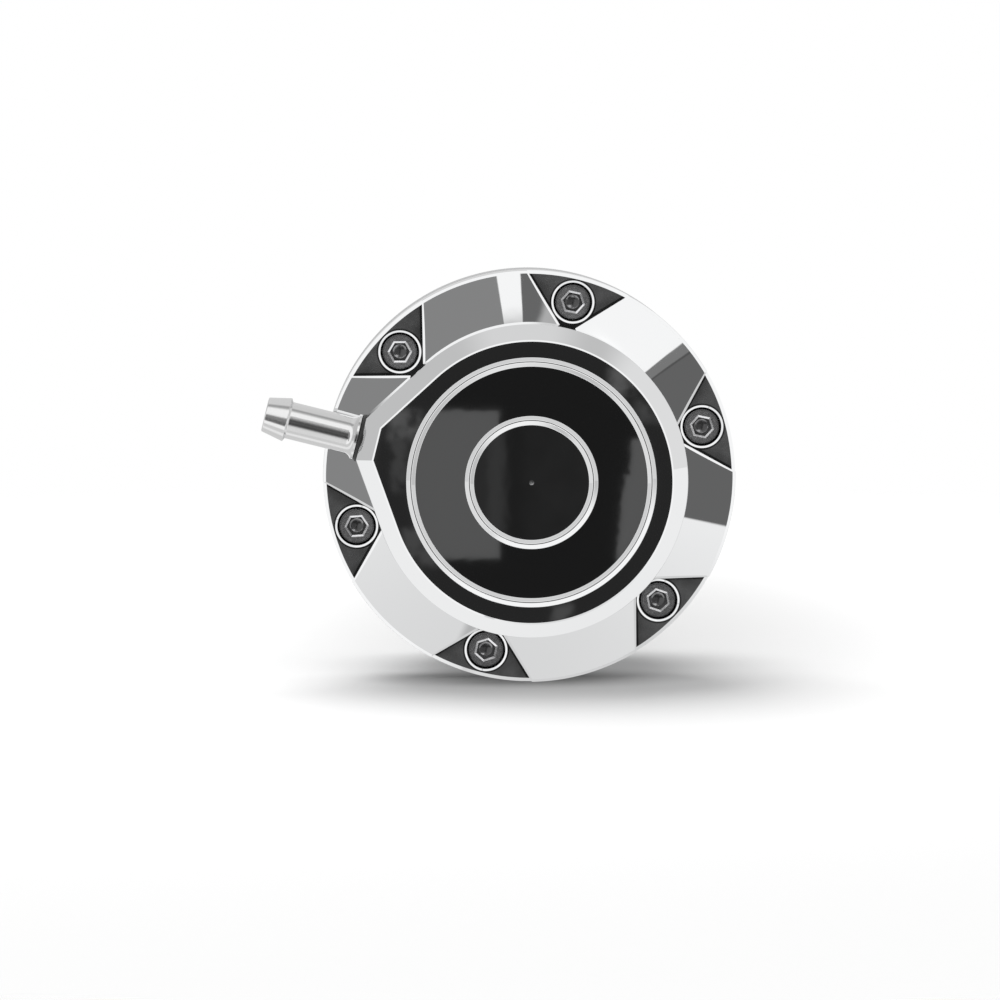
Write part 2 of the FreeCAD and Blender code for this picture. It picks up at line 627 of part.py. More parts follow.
def make_canister():
    """Canister: turned cup with the tapped flange, the mounting foot and the bush neck."""
    body = new_body("canister")
    edge = size.edge_break
    flange_y = clamp_y + size.flange_thickness
    waist = size.waist_fillet
    shoulder_y = -size.base_height
    turn(body, "Cup", [
        (size.cylinder_radius + size.sheet_thickness, clamp_y),
        (size.rim_radius - edge, clamp_y),
        (size.rim_radius, clamp_y + edge),
        (size.rim_radius, flange_y - edge),
        (size.rim_radius - edge, flange_y),
        (size.canister_radius + size.flange_fillet, flange_y),
        (size.canister_radius, flange_y + size.flange_fillet,
         size.canister_radius + size.flange_fillet, flange_y + size.flange_fillet),
        (size.canister_radius, shoulder_y - size.shoulder_bevel),
        (size.canister_radius - size.shoulder_bevel, shoulder_y),
        (size.base_radius + waist, shoulder_y),
        (size.base_radius, shoulder_y + waist, size.base_radius + waist, shoulder_y + waist),
        (size.base_radius, -edge),
        (size.base_radius - edge, 0),
        (size.wiper_bore_radius + edge, 0),
        (size.wiper_bore_radius, -edge),
        (size.wiper_bore_radius, -size.wiper_bore_depth),
        (size.bush_outer_radius + size.push_gap, -size.wiper_bore_depth),
        (size.bush_outer_radius + size.push_gap, floor_y - size.neck_height),
        (size.neck_radius, floor_y - size.neck_height),
        (size.neck_radius, floor_y),
        (size.cylinder_radius - size.floor_fillet, floor_y),
        (size.cylinder_radius, floor_y - size.floor_fillet,
         size.cylinder_radius - size.floor_fillet, floor_y - size.floor_fillet),
        (size.cylinder_radius, clamp_y + size.sheet_thickness),
    ])

    clip_y = -size.wiper_bore_depth + size.wiper_height
    groove_radius = size.wiper_bore_radius + size.clip_groove_depth
    turn(body, "Clip_groove", [
        (size.wiper_bore_radius - edge, clip_y),
        (groove_radius, clip_y),
        (groove_radius, clip_y + size.clip_thickness + size.sheet_gap),
        (size.wiper_bore_radius - edge, clip_y + size.clip_thickness + size.sheet_gap),
    ], cut=True)

    sketch = new_sketch(body, "Screw_thread_outline", "XZ_Plane", size.body_length)
    ring(sketch, 0, size.screw_circle_radius, size.screw_radius + size.thread_gap)
    thread = pocket(body, "Screw_thread", sketch, size.flange_thickness)
    polar(body, "Screw_threads", [thread], size.screw_count)

    sketch = new_sketch(body, "Mount_hole_outline", "XZ_Plane")
    ring(sketch, 0, size.mount_circle_radius, size.mount_hole_radius)
    hole = pocket(body, "Mount_hole", sketch, size.mount_hole_depth, reverse=True)
    polar(body, "Mount_holes", [hole], size.mount_count)

    sketch = new_sketch(body, "Vent_outline", "YZ_Plane")
    ring(sketch, -size.vent_distance, 0, size.vent_radius)
    pocket(body, "Vent", sketch, size.canister_radius * CLEAR)
    clocked(body)
    return body


def make_diaphragm():
    """Diaphragm: rubberised sheet, clamped by its rim, that rolls between cylinder and piston."""
    body = new_body("diaphragm")
    sheet_t = size.sheet_thickness
    wall = size.cylinder_radius - size.sheet_gap
    inner = wall - sheet_t
    skirt = size.piston_radius + size.sheet_gap
    outer = skirt + sheet_t
    loop_r = (wall + skirt) / 2
    loop_y = clamp_y + size.loop_height
    bend = size.piston_fillet
    turn(body, "Sheet", [
        (size.rim_radius - size.edge_break, cap_y),
        (size.rim_radius - size.edge_break, clamp_y),
        (wall + sheet_t, clamp_y),
        (wall, clamp_y + sheet_t, wall + sheet_t, clamp_y + sheet_t),
        (wall, loop_y),
        (loop_r, loop_y + (wall - skirt) / 2, loop_r, loop_y),
        (skirt, loop_y, loop_r, loop_y),
        (skirt, head_y + bend),
        (skirt - bend, head_y, skirt - bend, head_y + bend),
        (stud_hole_radius, head_y),
        (stud_hole_radius, plate_y),
        (skirt - bend, plate_y),
        (outer, head_y + bend, skirt - bend, head_y + bend),
        (outer, loop_y),
        (loop_r, loop_y + (inner - outer) / 2, loop_r, loop_y),
        (inner, loop_y, loop_r, loop_y),
        (inner, clamp_y + sheet_t),
        (inner + 2 * sheet_t, cap_y, inner + 2 * sheet_t, cap_y + 2 * sheet_t),
    ])
    sketch = new_sketch(body, "Rim_hole_outline", "XZ_Plane", -cap_y)
    ring(sketch, 0, size.screw_circle_radius, size.screw_radius + size.hole_gap)
    hole = pocket(body, "Rim_hole", sketch, 2 * sheet_t)
    polar(body, "Rim_holes", [hole], size.screw_count)
    clocked(body)
    return body


def make_piston():
    """Piston: light turned cup that carries the diaphragm and takes the springs."""
    body = new_body("piston")
    outer = size.piston_radius
    round_off = size.piston_fillet
    skirt_y = head_y + size.piston_height
    turn(body, "Cup", [
        (stud_hole_radius, head_y),
        (outer - round_off, head_y),
        (outer, head_y + round_off, outer - round_off, head_y + round_off),
        (outer, skirt_y - size.edge_break),
        (outer - size.edge_break, skirt_y),
        (outer - size.piston_wall, skirt_y),
        (outer - size.piston_wall, head_under_y),
        (size.rib_outer_radius, head_under_y),
        (size.rib_outer_radius, head_under_y + size.rib_height),
        (size.rib_inner_radius, head_under_y + size.rib_height),
        (size.rib_inner_radius, head_under_y),
        (stud_hole_radius, head_under_y),
    ])
    return body


def make_retainer_plate():
    """Retainer plate: turned disc that clamps the diaphragm on the piston head."""
    body = new_body("retainer_plate")
    edge = size.edge_break
    seat_bottom = washer_y + size.seal_seat_depth
    turn(body, "Disc", [
        (stud_hole_radius, plate_y),
        (size.plate_radius - edge * 2, plate_y),
        (size.plate_radius, plate_y - edge * 2),
        (size.plate_radius, washer_y + edge),
        (size.plate_radius - edge, washer_y),
        (size.seal_seat_radius, washer_y),
        (size.seal_seat_radius, seat_bottom),
        (stud_hole_radius, seat_bottom),
    ])
    return body


def make_stud_seal():
    """Small rubber ring round the stud, under the plate washer."""
    seal = doc.addObject("Part::Torus", "stud_seal")
    seal.Label = "stud_seal"
    section = size.seal_seat_depth / 2 - size.push_gap
    bind(seal, "Radius2", section)
    bind(seal, "Radius1", (size.seal_seat_radius + stud_hole_radius) / 2)
    middle = washer_y + size.seal_seat_depth / 2
    seal.Placement = FreeCAD.Placement(
        FreeCAD.Vector(0, middle.value, 0), FreeCAD.Rotation(FreeCAD.Vector(1, 0, 0), 90))
    bind(seal, "Placement.Base.y", middle)
    return seal


def make_washer(label, start):
    """Plain washer on the stud, its face nearer the cap at the given height."""
    body = new_body(label)
    edge = size.edge_break / 2
    turn(body, "Disc", [
        (stud_hole_radius, start),
        (size.washer_radius - edge, start),
        (size.washer_radius, start + edge),
        (size.washer_radius, start + size.washer_thickness),
        (stud_hole_radius, start + size.washer_thickness),
    ])
    return body


def make_nut(label, start, height, bevel_start, bevel_end):
    """Hexagon nut from one height to another, with turned corner bevels on the chosen faces."""
    body = new_body(label)
    sketch = new_sketch(body, "Hexagon", "XZ_Plane", -start)
    hexagon(sketch, size.nut_width)
    prism = pad(body, "Prism", sketch, height)
    prism.Reversed = True
    half = size.nut_width / 2
    corner = half * HEX_CORNER
    drop = (corner - half) * NUT_BEVEL
    if bevel_start:
        turn(body, "Start_bevel", [
            (half, start), (corner + drop, start), (corner + drop, start + drop * 2),
        ], cut=True)
    if bevel_end:
        finish = start + height
        turn(body, "End_bevel", [
            (half, finish), (corner + drop, finish), (corner + drop, finish - drop * 2),
        ], cut=True)
    return body


def make_piston_nut():
    """Self-locking nut: the hexagon seats on the washer, the round collar points at the cap."""
    hex_height = size.lock_nut_height - size.lock_collar_height
    start = lock_nut_y - hex_height
    body = make_nut("piston_nut", start, hex_height, True, False)
    top = lock_nut_y - size.lock_nut_height
    edge = size.edge_break
    turn(body, "Collar", [
        (0, start),
        (size.lock_collar_radius, start),
        (size.lock_collar_radius, top + edge * 2),
        (size.lock_collar_radius - edge * 2, top),
        (0, top),
    ])
    bore_nut(body, top, size.lock_nut_height)
    return body


def bore_nut(body, start, height):
    """Thread bore through a nut."""
    edge = size.edge_break
    finish = start + height
    turn(body, "Thread_bore", [
        (0, start),
        (stud_hole_radius + edge, start),
        (stud_hole_radius, start + edge),
        (stud_hole_radius, finish - edge),
        (stud_hole_radius + edge, finish),
        (0, finish),
    ], cut=True)


def make_jam_nut():
    """Jam nut that locks the rod end on the rod."""
    start = size.end_start - size.jam_nut_height
    body = make_nut("jam_nut", start, size.jam_nut_height, True, True)
    bore_nut(body, start, size.jam_nut_height)
    return body


def make_rod():
    """Rod: ground bar with a threaded stud at each end and two spanner flats."""
    body = new_body("rod")
    edge = size.edge_break
    turn(body, "Bar", [
        (0, stud_y),
        (size.stud_radius - edge, stud_y),
        (size.stud_radius, stud_y + edge),
        (size.stud_radius, rod_start_y),
        (size.rod_radius - edge, rod_start_y),
        (size.rod_radius, rod_start_y + edge),
        (size.rod_radius, size.rod_shoulder - edge),
        (size.rod_radius - edge, size.rod_shoulder),
        (size.stud_radius, size.rod_shoulder),
        (size.stud_radius, size.rod_tip - edge * 2),
        (size.stud_radius - edge * 2, size.rod_tip),
        (0, size.rod_tip),
    ])
    flat_end = size.rod_shoulder - size.flat_margin
    flat_start = flat_end - size.flat_length
    sketch = new_sketch(body, "Flat_outline", "XY_Plane")
    half = size.flat_width / 2
    for side in (1, -1):
        outline(sketch, [
            (half * side, flat_start),
            (size.rod_radius * CLEAR * side, flat_start),
            (size.rod_radius * CLEAR * side, flat_end),
            (half * side, flat_end),
        ])
    pocket(body, "Flats", sketch, 2 * size.rod_radius * CLEAR, midplane=True)
    return body


def make_guide_bush():
    """Guide bush: flanged bearing bush pushed into the neck from the spring side."""
    body = new_body("guide_bush")
    edge = size.edge_break
    flange_y = floor_y - size.neck_height
    top = flange_y - size.bush_flange_height
    foot = -size.wiper_bore_depth
    bore = size.rod_radius + size.running_gap
    turn(body, "Bush", [
        (bore, top + edge),
        (bore + edge, top),
        (size.bush_flange_radius - edge, top),
        (size.bush_flange_radius, top + edge),
        (size.bush_flange_radius, flange_y),
        (size.bush_outer_radius, flange_y),
        (size.bush_outer_radius, foot - edge),
        (size.bush_outer_radius - edge, foot),
        (bore, foot),
    ])
    return body


def make_rod_wiper():
    """Rod wiper: rubber ring with a thin lip that keeps grit off the bush."""
    body = new_body("rod_wiper")
    start = -size.wiper_bore_depth
    finish = start + size.wiper_height
    lip = size.rod_radius + size.wiper_lip_gap
    outer = size.wiper_bore_radius - size.push_gap
    lip_wall = size.wiper_lip
    turn(body, "Ring", [
        (lip + lip_wall, start),
        (outer, start),
        (outer, finish),
        (outer - lip_wall * 2, finish),
        (lip + lip_wall * 2, start + lip_wall * 1.5),
        (lip + lip_wall / 2, finish),
        (lip, finish),
        (lip, finish - lip_wall),
    ])
    return body


def make_bush_circlip():
    """Retaining ring: sprung wire-cut ring with two pierced lugs, seated in its groove."""
    body = new_body("bush_circlip")
    start = -size.wiper_bore_depth + size.wiper_height + size.sheet_gap / 2
    outer = size.wiper_bore_radius + size.clip_groove_depth - size.sheet_gap
    inner = outer - size.clip_width
    lug_reach = outer - size.rod_radius - size.stop_gap * 2
    sketch = new_sketch(body, "Ring_outline", "XZ_Plane", -start)
    ring(sketch, 0, 0, outer)
    ring(sketch, 0, 0, inner)
    band = pad(body, "Band", sketch, size.clip_thickness)
    band.Reversed = True
    lug_half = size.clip_lug_span / 2
    gap_half = size.clip_opening / 2
    sketch = new_sketch(body, "Lug_outline", "XZ_Plane", -start)
    outline(sketch, [
        (-lug_half, -(outer - lug_reach)),
        (lug_half, -(outer - lug_reach)),
        (lug_half, -(inner + size.clip_width / 3)),
        (-lug_half, -(inner + size.clip_width / 3)),
    ])
    lugs = pad(body, "Lugs", sketch, size.clip_thickness)
    lugs.Reversed = True
    sketch = new_sketch(body, "Gap_outline", "XZ_Plane", -start)
    outline(sketch, [
        (-gap_half, -size.rod_radius),
        (gap_half, -size.rod_radius),
        (gap_half, -(outer + size.clip_thickness)),
        (-gap_half, -(outer + size.clip_thickness)),
    ])
    pocket(body, "Gap", sketch, size.clip_thickness)
    sketch = new_sketch(body, "Eyelet_outline", "XZ_Plane", -start)
    for side in (1, -1):
        middle = (lug_half + gap_half) / 2
        ring(sketch, middle * side, -(outer - lug_reach / 2), size.clip_eyelet_radius)
    pocket(body, "Eyelets", sketch, size.clip_thickness)
    return body


def make_spring_seat():
    """Spring seat: hard steel ring between the springs and the canister floor."""
    body = new_body("spring_seat")
    turn(body, "Ring", [
        (size.neck_radius + size.hole_gap, seat_y),
        (size.cylinder_radius - size.floor_fillet - size.stop_gap, seat_y),
        (size.cylinder_radius - size.floor_fillet - size.stop_gap, floor_y),
        (size.neck_radius + size.hole_gap, floor_y),
    ])
    return body


def make_spring(label, wire, radius, turns):
    """Compression spring of round wire, ground flat where it meets the seat and the piston."""
    length = seat_y - head_under_y
    section = wire / 2
    left_on = section * (1 - size.ground_share)
    path_start = head_under_y + left_on
    path_length = length - 2 * left_on
    helix = doc.addObject("Part::Helix", label + "_path")
    bind(helix, "Radius", radius)
    bind(helix, "Height", path_length)
    bind(helix, "Pitch", path_length / turns)
    helix.Placement = FreeCAD.Placement(
        FreeCAD.Vector(0, path_start.value, 0), FreeCAD.Rotation(FreeCAD.Vector(1, 0, 0), -90))
    bind(helix, "Placement.Base.y", path_start)
    circle = doc.addObject("Part::Circle", label + "_section")
    bind(circle, "Radius", section)
    circle.Placement = FreeCAD.Placement(
        FreeCAD.Vector(radius.value, path_start.value, 0), FreeCAD.Rotation())
    bind(circle, "Placement.Base.x", radius)
    bind(circle, "Placement.Base.y", path_start)
    doc.recompute()
    wound = doc.addObject("Part::Sweep", label + "_wound")
    wound.Sections = [circle]
    wound.Spine = (helix, [f"Edge{number}" for number in range(1, len(helix.Shape.Edges) + 1)])
    wound.Solid = True
    wound.Frenet = True
    room = doc.addObject("Part::Cylinder", label + "_room")
    bind(room, "Radius", radius + wire)
    bind(room, "Height", length)
    room.Placement = FreeCAD.Placement(
        FreeCAD.Vector(0, head_under_y.value, 0), FreeCAD.Rotation(FreeCAD.Vector(1, 0, 0), -90))
    bind(room, "Placement.Base.y", head_under_y)
    ground = doc.addObject("Part::Common", label)
    ground.Base = wound
    ground.Tool = room
    ground.Label = label
    return ground


def make_rod_end():
    """Rod end: threaded shank that runs out into a flat eye for the lever's pin."""
    body = new_body("rod_end")
    edge = size.edge_break
    start = size.end_start
    shank_end = start + size.end_shank_length
    bore = stud_hole_radius
    turn(body, "Shank", [
        (0, start),
        (size.end_shank_radius - edge * 2, start),
        (size.end_shank_radius, start + edge * 2),
        (size.end_shank_radius, shank_end - size.end_shank_radius / 2),
        (size.end_shank_radius / 2, shank_end),
        (0, shank_end),
    ])
    sketch = new_sketch(body, "Eye_outline", "YZ_Plane")
    neck_start = start + size.end_thread_depth
    reach = size.eye_radius.value
    half = size.end_shank_radius.value - 2 * edge.value
    gap = eye_y.value - neck_start.value
    angle = math.acos(reach / math.hypot(gap, half)) + math.atan2(half, gap)
    touch = FreeCAD.Vector(eye_y.value - reach * math.cos(angle), reach * math.sin(angle), 0)
    foot = FreeCAD.Vector(neck_start.value, half, 0)
    low_touch = FreeCAD.Vector(touch.x, -touch.y, 0)
    low_foot = FreeCAD.Vector(foot.x, -foot.y, 0)
    circle = Part.Circle(FreeCAD.Vector(eye_y.value, 0, 0), FreeCAD.Vector(0, 0, 1), reach)
    turned = math.atan2(touch.y, touch.x - eye_y.value)
    arc = sketch.addGeometry(Part.ArcOfCircle(circle, -turned, turned))
    upper = sketch.addGeometry(Part.LineSegment(foot, touch))
    back = sketch.addGeometry(Part.LineSegment(low_foot, foot))
    lower = sketch.addGeometry(Part.LineSegment(low_touch, low_foot))
    rule = Sketcher.Constraint
    sketch.addConstraint(rule("PointOnObject", arc, 3, -1))
    hold(sketch, "DistanceX", arc, 3, eye_y)
    sketch.addConstraint(rule("Tangent", upper, 2, arc, 2))
    sketch.addConstraint(rule("Tangent", lower, 1, arc, 1))
    sketch.addConstraint(rule("Coincident", back, 2, upper, 1))
    sketch.addConstraint(rule("Coincident", back, 1, lower, 2))
    sketch.addConstraint(rule("Symmetric", back, 1, back, 2, -1))
    index = sketch.addConstraint(rule("Radius", arc, reach))
    bind(sketch, f"Constraints[{index}]", size.eye_radius)
    index = sketch.addConstraint(rule("Distance", back, 2 * half))
    bind(sketch, f"Constraints[{index}]", 2 * size.end_shank_radius - 4 * edge)
    hold(sketch, "DistanceX", back, 2, neck_start)
    eye = pad(body, "Eye", sketch, size.eye_thickness, midplane=True)
    doc.recompute()
    rims = []
    for number, piece in enumerate(eye.Shape.Edges, start=1):
        curve = piece.Curve
        if isinstance(curve, Part.Circle) and abs(curve.Radius - reach) < 1e-4:
            if abs(abs(curve.Axis.x) - 1) < 1e-6:
                rims.append(f"Edge{number}")
    bevel(body, "Eye_edges", eye, rims, size.eye_bevel)
    sketch = new_sketch(body, "Bush_seat_outline", "YZ_Plane")
    ring(sketch, eye_y, 0, size.eye_bush_radius + size.push_gap)
    pocket(body, "Bush_seat", sketch, size.eye_thickness * CLEAR, midplane=True)
    turn(body, "Thread_bore", [
        (0, start),
        (bore + edge, start),
        (bore, start + edge),
        (bore, start + size.end_thread_depth - bore / 2),
        (0, start + size.end_thread_depth),
    ], cut=True)
    return body


def make_eye_bush():
    """Eye bush: plain bearing bush in the eye of the rod end."""
    body = new_body("eye_bush")
    half = size.eye_thickness / 2 + size.eye_bush_proud
    edge = size.edge_break / 2
    turn(body, "Bush", [
        (-half, size.eye_bore_radius + edge),
        (-half + edge, size.eye_bore_radius),
        (half - edge, size.eye_bore_radius),
        (half, size.eye_bore_radius + edge),
        (half, size.eye_bush_radius - edge),
        (half - edge, size.eye_bush_radius),
        (-half + edge, size.eye_bush_radius),
        (-half, size.eye_bush_radius - edge),
    ], axis="H_Axis")
    body.Placement = FreeCAD.Placement(FreeCAD.Vector(0, eye_y.value, 0), FreeCAD.Rotation())
    bind(body, "Placement.Base.y", eye_y)
    return body


def make_cap_screws():
    """Six socket cap screws: one is drawn, and each of its copies has stopped at its own angle."""
    body = doc.addObject("PartDesign::Body", "screw_pattern")
    edge = size.edge_break
    seat = pocket_y + size.counterbore_depth
    top = seat - size.screw_head_height
    head = size.screw_head_radius
    turn(body, "Shank_and_head", [
        (0, top),
        (head - size.screw_head_bevel, top),
        (head, top + size.screw_head_bevel),
        (head, seat),
        (size.screw_radius, seat),
        (size.screw_radius, seat + size.screw_length - edge),
        (size.screw_radius - edge, seat + size.screw_length),
        (0, seat + size.screw_length),
    ])
    sketch = new_sketch(body, "Socket_outline", "XZ_Plane", -top)
    hexagon(sketch, size.socket_width)
    pocket(body, "Socket", sketch, size.socket_depth)
    corner = size.socket_width / 2 * HEX_CORNER
    turn(body, "Socket_mouth", [
        (0, top), (corner + edge / 2, top), (0, top + corner + edge / 2),
    ], cut=True)
    doc.recompute()

    copies = []
    step = 360 / size.screw_count
    for number, stopped_at in enumerate(SOCKET_ANGLES):
        around = size.port_angle + step / 2 + step * number
        angle = math.radians(around.value)
        across = size.screw_circle_radius * Size(math.cos(angle), f"cos({around.text} * 1deg)")
        up = size.screw_circle_radius * Size(math.sin(angle), f"sin({around.text} * 1deg)")
        copy = doc.addObject("App::Link", f"screw_{number + 1}")
        copy.LinkedObject = body
        copy.Placement = FreeCAD.Placement(
            FreeCAD.Vector(across.value, 0, up.value),
            FreeCAD.Rotation(FreeCAD.Vector(0, -1, 0), stopped_at))
        bind(copy, "Placement.Base.x", across)
        bind(copy, "Placement.Base.z", up)
        copies.append(copy)
    screws = doc.addObject("Part::Compound", "cap_screws")
    screws.Label = "cap_screws"
    screws.Links = copies
    return screws


pieces = [
    make_cap(),
    make_cap_screws(),
    make_hose_barb(),
    make_barb_seal(),
    make_canister(),
    make_diaphragm(),
    make_piston(),
    make_retainer_plate(),
    make_stud_seal(),
    make_washer("plate_washer", lock_nut_y),
    make_washer("backing_washer", head_under_y),
    make_piston_nut(),
    make_spring("main_spring", size.main_wire, size.main_spring_radius, size.main_turns),
    make_spring("inner_spring", size.inner_wire, size.inner_spring_radius, size.inner_turns),
    make_spring_seat(),
    make_guide_bush(),
    make_rod_wiper(),
    make_bush_circlip(),
    make_rod(),
    make_jam_nut(),
    make_rod_end(),
    make_eye_bush(),
]
doc.recompute()

for thing in doc.Objects:
    if "Invalid" in thing.State or "Error" in thing.State:
        raise RuntimeError(f"{thing.Name} is {thing.State}")
for piece in pieces:
    if piece.Shape.isNull() or not piece.Shape.isValid():
        raise RuntimeError(f"{piece.Label} has no valid shape")

os.makedirs("parts", exist_ok=True)
for piece in pieces:
    piece.Shape.exportStep(f"parts/{piece.Label}.step")
    print(piece.Label, len(piece.Shape.Solids), round(piece.Shape.Volume, 3))
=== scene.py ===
import math

import bpy
import numpy as np
from mathutils import Matrix, Vector


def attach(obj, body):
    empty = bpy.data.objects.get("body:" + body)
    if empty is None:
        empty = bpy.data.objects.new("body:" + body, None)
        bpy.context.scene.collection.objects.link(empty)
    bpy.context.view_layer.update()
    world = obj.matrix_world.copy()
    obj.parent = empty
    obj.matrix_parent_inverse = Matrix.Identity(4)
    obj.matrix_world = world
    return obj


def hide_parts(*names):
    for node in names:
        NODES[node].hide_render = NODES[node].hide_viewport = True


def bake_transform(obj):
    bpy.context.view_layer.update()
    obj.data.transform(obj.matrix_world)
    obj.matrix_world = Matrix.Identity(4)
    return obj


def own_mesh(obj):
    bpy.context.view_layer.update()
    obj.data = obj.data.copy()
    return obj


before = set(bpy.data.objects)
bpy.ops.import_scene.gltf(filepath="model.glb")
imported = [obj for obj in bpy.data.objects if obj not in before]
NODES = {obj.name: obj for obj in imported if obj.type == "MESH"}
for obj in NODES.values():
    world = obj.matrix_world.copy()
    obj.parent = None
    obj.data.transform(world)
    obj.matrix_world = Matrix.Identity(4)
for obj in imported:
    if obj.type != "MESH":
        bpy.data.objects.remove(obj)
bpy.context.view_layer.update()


# Canister. A cup turned from aluminium bar, left with its fine turning marks. Its flange takes
# the cap's screws, and its foot has four tapped mounting holes, the bush neck and a breather.
def turned(corners, degrees_each=9.0):
    """Runs of (r, y, nr, ny) round a closed outline of (r, y) or (r, y, corner radius)."""
    spots = [np.array(corner[:2], float) for corner in corners]
    rounds = [corner[2] if len(corner) > 2 else 0.0 for corner in corners]
    area = sum(a[0] * b[1] - b[0] * a[1] for a, b in zip(spots, spots[1:] + spots[:1]))
    if area < 0:
        spots.reverse()
        rounds.reverse()
    count = len(spots)
    arrive, leave, bends = [], [], []
    for i in range(count):
        back = spots[i - 1] - spots[i]
        ahead = spots[(i + 1) % count] - spots[i]
        back /= np.linalg.norm(back)
        ahead /= np.linalg.norm(ahead)
        opening = math.acos(max(-1.0, min(1.0, float(back @ ahead))))
        if rounds[i] == 0 or opening > math.pi - 1e-4:
            arrive.append(spots[i])
            leave.append(spots[i])
            bends.append(None)
            continue
        reach = rounds[i] / math.tan(opening / 2)
        middle = (back + ahead) / np.linalg.norm(back + ahead)
        centre = spots[i] + middle * rounds[i] / math.sin(opening / 2)
        arrive.append(spots[i] + back * reach)
        leave.append(spots[i] + ahead * reach)
        bends.append((centre, rounds[i]))
    runs = []
    for i in range(count):
        after = (i + 1) % count
        start, finish = leave[i], arrive[after]
        step = finish - start
        length = np.linalg.norm(step)
        if length > 1e-6 and max(start[0], finish[0]) > 1e-6:
            normal = (step[1] / length, -step[0] / length)
            runs.append([(*start, *normal), (*finish, *normal)])
        if bends[after]:
            centre, radius = bends[after]
            first, last = arrive[after] - centre, leave[after] - centre
            sweep = math.atan2(first[0] * last[1] - first[1] * last[0], float(first @ last))
            sign = 1.0 if sweep > 0 else -1.0
            parts = max(2, math.ceil(abs(math.degrees(sweep)) / degrees_each))
            begin = math.atan2(first[1], first[0])
            arc = []
            for k in range(parts + 1):
                angle = begin + sweep * k / parts
                out = (math.cos(angle), math.sin(angle))
                arc.append((centre[0] + radius * out[0], centre[1] + radius * out[1],
                            sign * out[0], sign * out[1]))
            runs.append(arc)
    return runs


MM = 0.001


def new_object(name, points, faces, normals):
    """A mesh object from points in millimetres. A polished face shows every error of its normals,
    so each face corner carries its exact one, which the cuts keep."""
    mesh = bpy.data.meshes.new(name)
    mesh.from_pydata((np.array(points, float) * MM).tolist(), [], faces)
    exact = mesh.attributes.new("exact", "FLOAT_VECTOR", "CORNER")
    exact.data.foreach_set("vector", np.array(normals, np.float32).ravel())
    thing = bpy.data.objects.new(name, mesh)
    bpy.context.scene.collection.objects.link(thing)
    return thing


def lathe(name, runs, steps=360, place=None):
    """Turns runs about the Y axis; place then moves the piece to where it belongs."""
    points, faces, normals, rings = [], [], [], {}
    place = place or Matrix.Identity(4)
    spin = place.to_3x3()
    circle = [(math.cos(2 * math.pi * k / steps), math.sin(2 * math.pi * k / steps))
              for k in range(steps)]

    def ring(r, y):
        key = (round(r, 6), round(y, 6))
        if key not in rings:
            rings[key] = len(points)
            around = circle if r > 1e-6 else [(0.0, 0.0)]
            points.extend(tuple(place @ Vector((r * c, y, r * s))) for c, s in around)
        return rings[key]

    for run in runs:
        for near, far in zip(run, run[1:]):
            a, b = ring(near[0], near[1]), ring(far[0], far[1])
            if a == b:
                continue
            at_a, at_b = [[tuple(spin @ Vector((nr * c, ny, nr * s))) for c, s in circle]
                          for _, _, nr, ny in (near, far)]
            for k in range(steps):
                n = (k + 1) % steps
                if near[0] <= 1e-6:
                    faces.append((a, b + k, b + n))
                    normals += [at_a[k], at_b[k], at_b[n]]
                elif far[0] <= 1e-6:
                    faces.append((a + k, b, a + n))
                    normals += [at_a[k], at_b[k], at_a[n]]
                else:
                    faces.append((a + k, b + k, b + n, a + n))
                    normals += [at_a[k], at_b[k], at_b[n], at_a[n]]
    return new_object(name, points, faces, normals)


def carve(thing, tools, operation="DIFFERENCE"):
    """Cuts the tools out of a piece, or joins them to it, and removes the tools."""
    for tool in tools:
        change = thing.modifiers.new("carve", "BOOLEAN")
        change.object = tool
        change.operation = operation
        change.solver = "MANIFOLD"
    graph = bpy.context.evaluated_depsgraph_get()
    mesh = bpy.data.meshes.new_from_object(thing.evaluated_get(graph))
    thing.modifiers.clear()
    thing.data = mesh
    for tool in tools:
        bpy.data.objects.remove(tool)
    return thing


def set_normals(thing):
    """Turns the exact normals into the mesh's own, facing outwards where a tool was cut away."""
    mesh = thing.data
    exact = mesh.attributes["exact"]
    normals = np.zeros(len(mesh.loops) * 3, np.float32)
    exact.data.foreach_get("vector", normals)
    normals = normals.reshape(-1, 3)
    flat = np.zeros(len(mesh.polygons) * 3, np.float32)
    mesh.polygons.foreach_get("normal", flat)
    corners = np.zeros(len(mesh.polygons), np.int32)
    mesh.polygons.foreach_get("loop_total", corners)
    flat = np.repeat(flat.reshape(-1, 3), corners, axis=0)
    normals[np.sum(normals * flat, axis=1) < 0] *= -1
    mesh.attributes.remove(exact)
    mesh.polygons.foreach_set("use_smooth", np.ones(len(mesh.polygons), bool))
    mesh.normals_split_custom_set(normals.tolist())


def fit(thing, body, node, finish):
    """Gives a finished piece its surface, its body and the node that it stands for."""
    mesh = thing.data
    mesh.materials.clear()
    mesh.materials.append(finish)
    mesh.polygons.foreach_set("material_index", np.zeros(len(mesh.polygons), np.int32))
    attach(thing, body)
    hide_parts(node)


